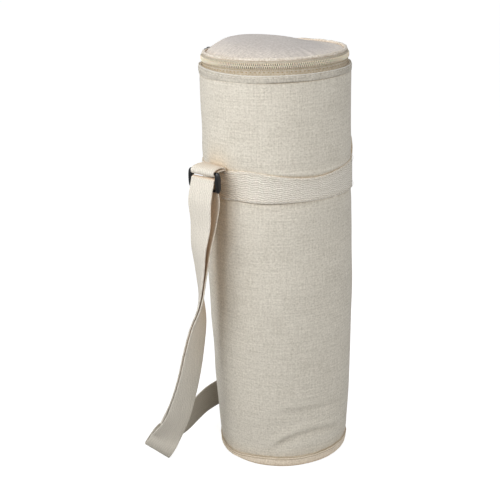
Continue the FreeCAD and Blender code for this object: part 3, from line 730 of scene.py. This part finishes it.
def footLinePart(height):
    def shape(phi, radius, heights):
        twist = 1 + footLine["twist"] * np.sin(footLine["twists"] * phi)
        wall = bodyRadius(phi, np.full(radius.shape, height)) + footLine["lift"]
        wander = footLine["wander"] * np.sin(footLine["wanders"] * phi)
        return wall + radius * twist, heights - footDrop(phi) + wander

    profile = roundProfile(0, height, footLine["radius"], footLine["sides"])
    return turnedPart(profile, footLine["around"], shape)


stripProfile = roundedProfile(footStrip["corners"], footStrip["ease"], footStrip["spacing"])
stripPart = turnedPart(stripProfile, footStrip["around"], stripShape)
strip = makeObject("footStrip", [stripPart], edgeCloth, "root")
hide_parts("base_piping")
makeObject("footLines", [footLinePart(height) for height in footLine["heights"]], footThread, "root")
print("foot ready")

# The folded hem under the zip, its corded edge and its stitches
hemFold = {"corners": ((58.4, 328.1), (61.0, 327.9), (61.25, 330.5), (61.05, 333.0), (60.2, 333.5),
                       (58.4, 333.4)),
           "ease": 0.5, "spacing": 0.8, "around": 720, "low": 328, "tall": 5, "sagBelow": 329.5,
           "outerFrom": 59.5, "wobbleFrom": 60, "wobble": 0.05,
           "sags": ((3, 0.6, 0.25), (8, 0.0, 0.15)), "upperShare": 0.35,  # how many, phase, depth
           "lift": 1.9, "liftAt": 2.7, "liftSpread": 0.6,
           "pulls": 92, "pullUp": 0.16, "pullOut": 0.1, "shifts": 5, "shift": 1.5, "groups": 11, "group": 0.4}
hemCord = {"middle": 60.75, "height": 333.25, "radius": 0.42, "sides": 8}
hemStitch = {"count": 92, "radius": 61.25, "height": 331.9, "scatter": 0.2, "lift": 0.9,
             "length": 3.1, "width": 0.55, "depth": 0.34, "bow": 0.06}
mouthBinding = {"box": (53.9, 57.4, 327.4, 333.3), "ease": 1.2, "spacing": 0.8, "around": 300}


def hemLift(phi):
    # The hem rides up at the left
    return hump(np.mod(phi, turnFull), hemFold["liftAt"], hemFold["liftSpread"])


def hemShape(phi, radius, height):
    s = hemFold
    upper = np.clip((height - s["low"]) / s["tall"], 0, 1)
    share = np.where(height < s["sagBelow"], 1.0, s["upperShare"]) * (radius > s["outerFrom"])
    # The stitches pull the edge in, unevenly and stronger in some stretches
    pull = np.sin(s["pulls"] * phi + s["shift"] * np.sin(s["shifts"] * phi))
    pull = pull * (1 - s["group"] + s["group"] * np.sin(s["groups"] * phi))
    wobble = s["wobble"] * gather(puckers, phi) * (radius > s["wobbleFrom"])
    height = height + upper * (s["lift"] * hemLift(phi) + s["pullUp"] * pull) + share * gather(s["sags"], phi)
    return radius + wobble + s["pullOut"] * pull * upper, height


hemProfile = roundedProfile(hemFold["corners"], hemFold["ease"], hemFold["spacing"])
hem = makeObject("hem", [turnedPart(hemProfile, hemFold["around"], hemShape)], hemCloth, "root")
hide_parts("rim_hem")
cordProfile = roundProfile(*[hemCord[key] for key in ("middle", "height", "radius", "sides")])
makeObject("hemEdge", [turnedPart(cordProfile, hemFold["around"], hemShape)], whiteThread, "root")
places, alongs, outs = ringOf(hemStitch["radius"], hemStitch["height"], hemStitch["count"])
places[:, 2] += rng.uniform(-hemStitch["scatter"], hemStitch["scatter"], hemStitch["count"])
places[:, 2] += hemStitch["lift"] * hemLift(np.arctan2(places[:, 1], places[:, 0]))
stitch = bead(*[hemStitch[key] for key in ("length", "width", "depth", "bow")])
makeObject("hemStitches", [scatterPart(stitch, places, alongs, outs)], whiteThread, "root")
facing = makeObject("mouthBinding", [boxPart(mouthBinding)], liningCloth, "root")
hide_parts("rim_facing")
print("hem ready")

# The zip: tapes, coil ribs, and the stitch lines on the lower tape. Its angles are counted from the hinge
zipChain = {"height": 340.4, "pitch": 0.825, "hinge": 90.0, "tab": 12.6, "row": 15.7, "fixed": 34.0,
            "cut": 0.5}
zipTape = {"lower": (57.65, 58.15, 328.4, 339.4), "upper": (57.65, 58.15, 341.4, 343.9), "ease": 0.2,
           "spacing": 0.8, "leastAround": 12, "perDegree": 1.2, "ripple": 0.06, "ripples": 23}
zipRib = {"radius": 58.6, "pitchRadius": 59.0, "stand": 0.8, "clear": 0.3, "length": 2.5, "width": 0.78,
          "depth": 0.9, "bow": 0.3}
tapeStitch = {"radius": 58.25, "bow": 0.05,
              "rows": ((337.5, 206, (0.85, 0.5, 0.35)), (335.6, 98, (1.5, 0.6, 0.4)))}  # height, count, size


def fromHinge(key):
    return zipChain["hinge"] + zipChain[key], zipChain["hinge"] + 360 - zipChain[key]


def tapePart(box, start, end):
    # A stretch of tape that ripples a little along its lower edge
    def shape(phi, radius, height):
        share = np.clip((height - box[2]) / (box[3] - box[2]), 0, 1)
        return radius + zipTape["ripple"] * np.sin(zipTape["ripples"] * phi) * (1 - share), height

    around = max(zipTape["leastAround"], int((end - start) * zipTape["perDegree"]))
    return boxPart({**zipTape, "box": box, "around": around}, shape, start, end - start)


def ribRow(direction, start, end):
    # One row of the coil. Each row reaches past the middle, and its ribs stand between the other's
    step = math.degrees(2 * zipChain["pitch"] / zipRib["pitchRadius"])
    offset = 0.0 if direction > 0 else 0.5
    first = math.ceil(start / step - offset + zipRib["clear"])
    last = math.floor(end / step - offset - zipRib["clear"])
    phi = np.radians((np.arange(first, last + 1) + offset) * step)
    out = np.stack([np.cos(phi), np.sin(phi), np.zeros(len(phi))], axis=1)
    places = out * zipRib["radius"] + np.array([0, 0, zipChain["height"] - zipRib["stand"] * direction])
    rib = bead(*[zipRib[key] for key in ("length", "width", "depth", "bow")])
    return scatterPart(rib, places, np.tile([0.0, 0.0, 1.0], (len(phi), 1)), out)


openStart, openEnd = fromHinge("fixed")
tabStart, tabEnd = fromHinge("tab")
rowStart, rowEnd = fromHinge("row")
lowerTape = makeObject("lowerTape", [tapePart(zipTape["lower"], tabStart, tabEnd)], tapeCloth, "root")
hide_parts("zip_lower_tape")
upperTape = makeObject("upperTape", [tapePart(zipTape["upper"], openStart, openEnd)], tapeCloth, "lid")
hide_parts("zip_upper_tape")
ends = [tapePart(zipTape["upper"], tabStart, openStart - zipChain["cut"]),
        tapePart(zipTape["upper"], openEnd + zipChain["cut"], tabEnd)]
endTapes = makeObject("endTapes", ends, tapeCloth, "root")
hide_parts("zip_end_tapes")
lowerCoil = makeObject("lowerCoil", [ribRow(1, rowStart, rowEnd)], coilPlastic, "root")
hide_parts("zip_lower_teeth")
upperCoil = makeObject("upperCoil", [ribRow(-1, openStart, openEnd)], coilPlastic, "lid")
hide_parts("zip_upper_teeth")
endRows = [ribRow(-1, rowStart, openStart), ribRow(-1, openEnd, rowEnd)]
endCoil = makeObject("endCoil", endRows, coilPlastic, "root")
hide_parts("zip_end_teeth")
rows = []
for height, count, size in tapeStitch["rows"]:
    ring = ringOf(tapeStitch["radius"], height, count, tabStart, tabEnd - tabStart)
    rows.append(scatterPart(bead(*size, tapeStitch["bow"]), *ring))
makeObject("tapeStitches", rows, tanThread, "root")
repaintNode("zip_stops", coilPlastic)
print("zip ready")

# The lid: ridge, domed panel, its foam, lining and side wall, and the hinge tab
lid = {"edge": 54.6, "height": 344.6, "crown": 10.0, "thick": 0.9, "around": 360, "rings": 46,
       "middle": 0.0002, "leftWay": (-0.788, 0.616), "slopes": (2.2, 1.3), "lean": (0.6, -0.15),
       "fold": 0.12, "foldFrom": 0.55, "foldFull": 0.4, "foldEdge": 0.08}
lidSoftness = {"broad": 0.35, "stepX": 11, "stepY": 14, "startX": 0.4, "startY": 1.0,
               "fine": 0.2, "fineStep": 8}
lidRidge = {"middle": 56.3, "radius": 1.5, "sides": 16, "around": 720, "stitches": 98, "pinch": 0.05}
lidDent = {"angle": 117, "spread": 0.3, "edge": 1.1, "ridgeIn": 0.6, "ridgeDown": 1.1, "ridgeThin": 0.4}
lidInside = {"foamEdge": 52.7, "foamRise": 8.6, "foamLow": 335.9, "foamRough": 0.9, "foamAround": 180,
             "liningRadius": 52.6, "lining": (335.15, 335.7)}
lidWall = {"box": (52.95, 55.9, 335.2, 342.3), "ease": 0.9, "spacing": 0.8, "around": 300}
hingeTab = {"box": (58.4, 59.25, 333.7, 343.3), "ease": 0.3, "spacing": 0.7, "around": 40, "half": 12}
lidPuckers = drawPuckers(16, 46, 8)


def lidDip(phi):
    # The slider presses the lid's edge down at the back left
    return humpAt(phi, lidDent["angle"], lidDent["spread"])


def ridgeShape(phi, radius, height):
    s, middle = lidRidge, lidRidge["middle"]
    swell = 1 + s["pinch"] * (gather(lidPuckers, phi) + np.sin(s["stitches"] * phi))
    swell = swell * (1 - lidDent["ridgeThin"] * lidDip(phi))
    level = lid["height"]
    radius = middle - lidDent["ridgeIn"] * lidDip(phi) + (radius - middle) * swell
    return radius, level - lidDent["ridgeDown"] * lidDip(phi) + (height - level) * swell


def domeHeight(phi, radius, rise, rough):
    # Higher at the left, with puckers near the edge and a soft unevenness over the middle
    share = np.clip(radius / lid["edge"], 0, 1)
    x, y = radius * np.cos(phi), radius * np.sin(phi)
    left = (lid["leftWay"][0] * x + lid["leftWay"][1] * y) / lid["edge"]
    dome = rise * (1 - share**(lid["slopes"][0] + lid["slopes"][1] * left))
    dome = dome * (1 + lid["lean"][0] * left + lid["lean"][1] * left**2)
    inner, outer = (share - lid["foldFrom"]) / lid["foldFull"], (1 - share) / lid["foldEdge"]
    folds = lid["fold"] * gather(lidPuckers, phi) * np.clip(inner, 0, 1) * np.clip(outer, 0, 1)
    s = lidSoftness
    soft = s["broad"] * np.sin(x / s["stepX"] + s["startX"]) * np.cos(y / s["stepY"] + s["startY"])
    soft = soft + s["fine"] * np.sin((x + y) / s["fineStep"])
    dome = dome - lidDent["edge"] * share**8 * lidDip(phi)
    return dome + rough * (folds + soft * (1 - share**4))


def domePart(edge, rise, rough, around, under):
    # A domed cap, closed at its middle. Under gives its lower face from its upper one
    rings = edge * np.sin(np.linspace(lid["middle"], 1, lid["rings"]) * math.pi / 2)
    phi = (turnFull * np.arange(around) / around)[:, None]
    top = lid["height"] + domeHeight(phi, rings[None, :], rise, rough) * np.ones_like(phi)
    radius = np.tile(np.concatenate([rings, rings[::-1]]), (around, 1))
    height = np.concatenate([top, under(top)[:, ::-1]], axis=1)
    points = np.stack([radius * np.cos(phi), radius * np.sin(phi), height], axis=2)
    part = gridPart(points, np.zeros((around + 1, 2 * len(rings) + 1, 2)), wrapFirst=True)
    part["spots"] = part["points"][part["faces"]][..., :2]
    return part


ridgeProfile = roundProfile(lidRidge["middle"], lid["height"], lidRidge["radius"], lidRidge["sides"])
ridge = makeObject("lidRidge", [turnedPart(ridgeProfile, lidRidge["around"], ridgeShape)], ridgeCloth, "lid")
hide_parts("lid_piping")
panelPart = domePart(lid["edge"], lid["crown"], 1.0, lid["around"], lambda top: top - lid["thick"])
panel = makeObject("lidPanel", [panelPart], lidCloth, "lid")
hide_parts("lid_panel")
foamPart = domePart(*[lidInside[key] for key in ("foamEdge", "foamRise", "foamRough", "foamAround")],
                    lambda top: np.full_like(top, lidInside["foamLow"]))
lidFoam = makeObject("lidFoam", [foamPart], foamStuff, "lid")
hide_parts("lid_foam")
liningPart = padPart(lidInside["liningRadius"], *lidInside["lining"])
lidLining = makeObject("lidLining", [liningPart], liningCloth, "lid")
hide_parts("lid_lining")
lidSide = makeObject("lidSide", [boxPart(lidWall)], liningCloth, "lid")
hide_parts("lid_side")
tabPart = boxPart(hingeTab, None, zipChain["hinge"] - hingeTab["half"], 2 * hingeTab["half"])
tab = makeObject("hingeTab", [tabPart], hemCloth)
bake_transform(tab)
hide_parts("lid_hinge_tab")
print("lid ready")

# Webbing: the band round the body, sewn along both edges
webbing = {"width": 25.0, "thick": 1.5, "bandLow": 232.5, "bandHigh": 257.5}
band = {"middle": 245.0, "stand": 0.9, "around": 480, "unroll": 62.0, "across": 16, "slack": 0.5,
        "slacks": ((2, 0.8, 0.25), (5, 0.0, 0.12)), "drops": ((1, -0.9, 0.3), (3, 0.0, 0.2)),
        "upperEdge": ((208, 15, 2.0), (260, 28, -4.6)), "lowerEdge": ((240, 60, 1.8), (200, 12, 1.2))}
bandStitch = {"stand": 2.35, "step": 3.1, "length": 2.3, "width": 0.45, "depth": 0.35, "bow": 0.05,
              "rows": ((255.9, 186, 46), (234.2, 186, 150), (255.9, 240, 96))}  # height, start, sweep


def bandDrop(phi, height):
    # The front of the band sags, most at its upper edge, and its left end rides up
    degrees = np.mod(np.degrees(phi), 360)
    share = (height - webbing["bandLow"]) / webbing["width"]
    upper, lower = [sum(rise * hump(degrees, angle, spread) for angle, spread, rise in band[key])
                    for key in ("upperEdge", "lowerEdge")]
    return upper * share + lower * (1 - share) + gather(band["drops"], phi)


def bandWall(phi, like):
    return bodyRadius(phi, np.full(like.shape, band["middle"]))


def bandShape(phi, radius, height):
    slack = band["slack"] * gather(band["slacks"], phi)
    return bandWall(phi, radius) + band["stand"] + radius + slack, height + bandDrop(phi, height)


outline = sectionOutline(webbing["width"], webbing["thick"], band["across"])
bandProfile = np.stack([outline[:, 1], band["middle"] + outline[:, 0]], axis=1)
bandPart = turnedPart(bandProfile, band["around"], bandShape)
bandPart["spots"] = unrollSpots(bandPart, band["unroll"], np.tile(outline[:, 0], band["around"]))
bandObject = makeObject("webbingBand", [bandPart], webbingCloth, "root")
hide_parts("webbing_band")
rows = []
for height, start, sweep in bandStitch["rows"]:
    places, alongs, outs = ringOf(lambda phi: bandWall(phi, phi) + bandStitch["stand"], height,
                                  int(sweep / bandStitch["step"]), start, sweep)
    places[:, 2] += bandDrop(np.arctan2(places[:, 1], places[:, 0]), height)
    stitch = bead(*[bandStitch[key] for key in ("length", "width", "depth", "bow")])
    rows.append(scatterPart(stitch, places, alongs, outs))
makeObject("bandStitches", rows, whiteThread, "root")
print("band ready")

# The buckle: two cheeks and three bars, one above the other
buckle = {"distance": 74.2, "yaw": math.radians(9.0), "bars": (257.9, 250.9, 243.9), "bar": 1.1,
          "margin": 1.5, "slot": 25.6, "side": 3.5, "depth": 4.2, "barInCheek": 1.5, "barSteps": 12,
          "barSides": 18}
cheek = {"sections": (-1, -0.93, -0.8, -0.55, -0.25, 0, 0.25, 0.55, 0.8, 0.93, 1), "sides": 28,
         "squareness": 0.8, "thinning": 0.35, "crown": 0.16, "edge": 0.06}
acrossWay = Vector((math.sin(buckle["yaw"]), -math.cos(buckle["yaw"]), 0))
outWay = Vector((-math.cos(buckle["yaw"]), -math.sin(buckle["yaw"]), 0))


def buckleSpot(distance, height):
    return Vector((-buckle["distance"], 0, height)) + outWay * distance


def solidPart(sections):
    points = np.array(sections)
    return gridPart(points, np.zeros((points.shape[0] + 1, points.shape[1] + 1, 2)), caps=True)


def squared(value):
    return math.copysign(abs(value) ** cheek["squareness"], value)


def cheekPart(side):
    # A rounded block, fullest half way through its width
    low, high = buckle["bars"][-1] - buckle["margin"], buckle["bars"][0] + buckle["margin"]
    middle, angles = (low + high) / 2, turnFull * np.arange(cheek["sides"]) / cheek["sides"]
    sections = []
    for share in cheek["sections"]:
        half = buckle["depth"] / 2 * (1 - cheek["thinning"] * share**8)
        tall = (high - low) / 2 * (1 - cheek["crown"] * share**2 - cheek["edge"] * share**8)
        reach = side * (buckle["slot"] / 2 + buckle["side"] * (1 + share) / 2)
        sections.append([buckleSpot(half * squared(math.cos(angle)), middle + tall * squared(math.sin(angle)))
                         + acrossWay * reach for angle in angles])
    return solidPart(sections)


def barPart(height):
    end, radius = buckle["slot"] / 2 + buckle["barInCheek"], buckle["bar"]
    angles = turnFull * np.arange(buckle["barSides"]) / buckle["barSides"]
    ring = [buckleSpot(radius * math.cos(angle), height + radius * math.sin(angle)) for angle in angles]
    reaches = np.linspace(-end, end, buckle["barSteps"])
    return solidPart([[spot + acrossWay * reach for spot in ring] for reach in reaches])


glideParts = [cheekPart(1), cheekPart(-1)] + [barPart(height) for height in buckle["bars"]]
glide = makeObject("triGlide", glideParts, blackAcetal, "buckle")
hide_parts("tri_glide")
print("buckle ready")

# The loop that holds the buckle. Its shares run out from the body and up from the band
strapSize = {"wall": 60.9, "barGap": 0.3, "layerGap": 0.1, "bandGap": 0.6, "thin": 0.1}
loopShares = ((0, 0), (0, 0.11), (0.03, 0.188), (0.104, 0.22), (0.3, 0.26), (0.55, 0.275), (0.82, 0.24),
              (1.03, 0.18))
loopBack = {"turn": (45, -170), "reachShare": 0.34, "spacing": 0.9}


def aroundBar(height, start, end, steps=7):
    # Distances and heights of the strap's middle on its way round a bar
    radius = buckle["bar"] + strapSize["barGap"] + webbing["thick"] / 2
    angles = np.radians(np.linspace(start, end, steps + 1))
    return [(radius * math.cos(angle), height + radius * math.sin(angle)) for angle in angles]


def buildLoop():
    wall, thick = strapSize["wall"], webbing["thick"]
    inner, step = wall + thick / 2, thick + strapSize["layerGap"]
    foot, reach = webbing["bandHigh"] + strapSize["bandGap"], buckle["distance"] - inner
    rise = buckle["distance"] - wall - thick
    places = [(inner + reach * out - buckle["distance"], foot + rise * up) for out, up in loopShares]
    places += aroundBar(buckle["bars"][0], *loopBack["turn"])
    outer = inner + step - buckle["distance"]
    places += [(outer + reach * loopBack["reachShare"], foot + step / 2), (outer, foot + step / 2)]
    line, guides = [], []
    turning = reach - step - buckle["depth"]
    for distance, height in places:
        # The loop turns from the body's direction to the buckle's over its length
        share = min(max((distance + buckle["depth"]) / turning + 1, 0), 1)
        aside = outWay.y * (max(distance, -buckle["depth"]) - turning / 2 * (1 - share**2))
        guides.append((acrossWay.x * share, acrossWay.y, 0))
        line.append((outWay.x * distance - buckle["distance"], aside, height))
    path = smoothPath(line, guides, loopBack["spacing"])
    return ribbonPart(*path, webbing["width"], thick - strapSize["thin"])


loop = makeObject("strapLoop", [buildLoop()], strapCloth, "root")
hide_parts("strap_loop")

# The carry strap: tail, turn over the middle bar, run to a fold on the floor, and back up behind the bag.
# The places are shares of reach, side and rise, and the hanging ones end with the way the strap faces
hanging = {"reach": 107.0, "side": 75.0, "rise": 250.0, "spread": 3.3, "slack": 2.2, "stand": 6.3,
           "drop": 15.0, "tailSpread": 6.0, "tailSlide": 1.2, "leastGap": 0.5, "spacing": 1.2,
           "endFold": 12, "endExtra": 0.5}
hangShares = ((0.682, 0.013, 0.868, -88), (0.718, 0.016, 0.788, -99), (0.735, 0.024, 0.704, -111),
              (0.744, 0.045, 0.604, -128), (0.756, 0.099, 0.512, -154), (0.778, 0.156, 0.420, -165),
              (0.802, 0.217, 0.328, -171), (0.835, 0.304, 0.230, -179), (0.888, 0.403, 0.134, -192),
              (0.950, 0.475, 0.080, -208))
# How far the tail stands off the run at each of these, and how far it slides across
tailShares = ((1.27, 1.2), (0.88, 0.7), (0.48, 0.2), (0.38, 0), (0.34, 0.3), (0.34, 0.5), (0.34, 0.5),
              (0.34, 0.5), (0.38, 0.5))
floorFold = {"shares": (-0.991, 0.549, 0.041), "angle": -218, "lift": 36, "radius": 2.2, "rise": 8.0,
             "leave": 1.6, "steps": 4}
backShares = ((-0.820, 0.650, 0.066), (-0.600, 0.760, 0.072), (-0.330, 0.890, 0.095), (-0.080, 0.960, 0.106),
              (0.200, 0.960, 0.170), (0.430, 0.800, 0.350), (0.590, 0.560, 0.540), (0.670, 0.290, 0.720),
              (0.690, 0.100, 0.855), (0.680, 0.020, 0.950))
sewnShares = ((1.0, 0.2), (0.9, 0.6), (0.55, 0.86), (0.2, 0.62), (0.03, 0.3), (0, 0))


def heading(angle, lift=0.0):
    turn, tilt = math.radians(angle), math.radians(lift)
    return Vector((math.cos(turn) * math.cos(tilt), math.sin(turn) * math.cos(tilt), math.sin(tilt)))


def strapSpot(shares):
    return Vector([share * hanging[key] for share, key in zip(shares, ("reach", "side", "rise"))])


def tailStations(hang):
    # The tail hangs outside the run and follows it down
    stations = []
    for (place, guide), (spread, slide) in zip(hang, tailShares):
        away = Vector((guide.y, -guide.x, 0))
        step = max(hanging["tailSpread"] * spread, webbing["thick"] + hanging["leastGap"])
        stations.append((place + away * step + guide * (slide * hanging["tailSlide"]), guide))
    return stations[::-1]


def turnStations():
    bars, close = buckle["bars"], buckle["bar"] + strapSize["barGap"] + webbing["thick"] / 2
    bottom = bars[1] - hanging["drop"]
    turn = [(hanging["stand"], bottom), (close + hanging["slack"], bars[2])] + aroundBar(bars[1], 0, 180)
    turn += [(-close, bars[2]), (-hanging["spread"], bottom)]
    return [(buckleSpot(distance, height), acrossWay) for distance, height in turn]


def foldStations():
    # The strap turns back on itself where it touches the floor
    s = floorFold
    centre, wide, behind = strapSpot(s["shares"]), heading(s["angle"], s["lift"]), heading(s["angle"] + 270)
    down = wide.cross(behind)
    stations = []
    for step in range(s["steps"] + 1):
        angle = math.pi * step / s["steps"]
        turned = down * math.sin(angle) - behind * math.cos(angle)
        stations.append((centre + turned * s["radius"], wide))
    return stations + [(centre + behind * (s["radius"] * s["leave"]) - down * s["rise"], wide)]


def backStations():
    back = [strapSpot(shares) for shares in backShares]
    stations = []
    for index, place in enumerate(back):
        before, after = back[max(index - 1, 0)], back[min(index + 1, len(back) - 1)]
        stations.append((place, (after - before).cross(Vector((place.x, place.y, 0))).normalized()))
    inner, low = strapSize["wall"] + webbing["thick"] / 2, webbing["bandHigh"] + strapSize["bandGap"]
    stand = back[-1].x - inner
    for reach, rise in sewnShares:
        stations.append((Vector((inner + stand * reach, 0, low + stand * rise)), Vector((0, 1, 0))))
    return stations


def buildStrap():
    hang = [(strapSpot((-out, aside, up)), heading(angle)) for out, aside, up, angle in hangShares]
    stations = tailStations(hang) + turnStations() + hang + foldStations() + backStations()
    line, across, face = smoothPath(*zip(*stations), hanging["spacing"])
    thicker = 1 + hanging["endExtra"] * (lengthAlong(line) < hanging["endFold"])  # the tail's folded end
    return ribbonPart(line, across, face, webbing["width"], webbing["thick"] - strapSize["thin"], thicker)


strap = makeObject("carryStrap", [buildStrap()], strapCloth)
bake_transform(strap)
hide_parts("strap_run", "strap_tail", "strap_wrap")
for node in ("zip_slider", "slider_back_plate", "pull_tab"):
    repaintNode(node, blackLacquer)
print("straps ready")

# Studio, in metres: a white floor, four soft lights from the left and the front, a camera fitted to the bag
lights = (
    {"name": "keyLight", "place": (-0.92, -0.16, 0.80), "target": (0, 0, 0.34), "size": 0.45, "power": 0.46,
     "spread": 58},
    {"name": "sideLight", "place": (-0.88, 0.28, 0.75), "target": (0, 0, 0.33), "size": 0.45, "power": 0.62,
     "spread": 60},
    {"name": "frontLight", "place": (-0.35, -0.95, 0.68), "target": (0, 0, 0.18), "size": 0.6, "power": 0.47,
     "spread": 60},
    {"name": "fillLight", "place": (0.4, -0.95, 0.6), "target": (0, 0, 0.2), "size": 0.6, "power": 0.33,
     "spread": 80},
)
backdrop = {"size": 8, "colour": (0.55, 0.55, 0.55), "noise": 3.0, "rough": 0.8, "roughSpread": 0.1,
            "shine": 0.1, "glow": 0.8, "sky": (0.98, 0.99, 1.0), "skyLight": 0.4}
shot = {"place": (-0.5615, -0.6784, 0.4716), "right": (0.788, -0.616, 0), "away": (0.616, 0.788, 0),
        "pitch": math.radians(18.51), "roll": math.radians(1.81), "lens": 79.2, "sensor": 36.0}


def floorMaterial():
    # Matt for the light, and bright enough for the camera to look white outside the shadow
    material, tree = startMaterial("floorWhite")
    noise = addNode(tree, "ShaderNodeTexNoise", {"Scale": backdrop["noise"]})
    rough = compute(tree, "MULTIPLY_ADD", noise.outputs["Fac"], backdrop["roughSpread"], backdrop["rough"])
    matt = addNode(tree, "ShaderNodeBsdfPrincipled", {
        "Base Color": opaque(backdrop["colour"]), "Roughness": rough,
        "Specular IOR Level": backdrop["shine"]})
    glow = addNode(tree, "ShaderNodeEmission", {"Color": opaque((1, 1, 1)), "Strength": backdrop["glow"]})
    both = addNode(tree, "ShaderNodeAddShader", {0: matt.outputs[0], 1: glow.outputs[0]})
    seen = addNode(tree, "ShaderNodeLightPath").outputs["Is Camera Ray"]
    endMaterial(tree, addNode(tree, "ShaderNodeMixShader", {0: seen, 1: matt.outputs[0], 2: both.outputs[0]}))
    return material


bpy.ops.mesh.primitive_plane_add(size=backdrop["size"], location=(0, 0, 0))
floor = bpy.context.object
floor.name = "floor"
floor.data.materials.append(floorMaterial())
world = bpy.data.worlds.new("studio")
bpy.context.scene.world = world
world.use_nodes = True
world.node_tree.nodes.clear()
seen = addNode(world.node_tree, "ShaderNodeLightPath").outputs["Is Camera Ray"]
strength = compute(world.node_tree, "MULTIPLY_ADD", seen, 1 - backdrop["skyLight"], backdrop["skyLight"])
skyInputs = {"Color": opaque(backdrop["sky"]), "Strength": strength}
sky = addNode(world.node_tree, "ShaderNodeBackground", skyInputs)
addNode(world.node_tree, "ShaderNodeOutputWorld", {"Surface": sky.outputs[0]})
for light in lights:
    data = bpy.data.lights.new(light["name"], "AREA")
    data.size = light["size"]
    data.energy = light["power"]
    data.spread = math.radians(light["spread"])
    lamp = bpy.data.objects.new(light["name"], data)
    bpy.context.scene.collection.objects.link(lamp)
    lamp.location = light["place"]
    aim = Vector(light["target"]) - Vector(light["place"])
    lamp.rotation_euler = aim.to_track_quat("-Z", "Y").to_euler()

right, away = Vector(shot["right"]), Vector(shot["away"])
ahead = away * math.cos(shot["pitch"]) - Vector((0, 0, math.sin(shot["pitch"])))
upright = away * math.sin(shot["pitch"]) + Vector((0, 0, math.cos(shot["pitch"])))
cameraRight = right * math.cos(shot["roll"]) - upright * math.sin(shot["roll"])
cameraUp = right * math.sin(shot["roll"]) + upright * math.cos(shot["roll"])
cameraData = bpy.data.cameras.new("camera")
cameraData.lens = shot["lens"]
cameraData.sensor_width = shot["sensor"]
camera = bpy.data.objects.new("camera", cameraData)
bpy.context.scene.collection.objects.link(camera)
turn = Matrix((cameraRight, cameraUp, -ahead)).transposed().to_4x4()
camera.matrix_world = Matrix.Translation(shot["place"]) @ turn
bpy.context.scene.camera = camera
bpy.context.scene.view_settings.view_transform = "Standard"
print("studio ready")
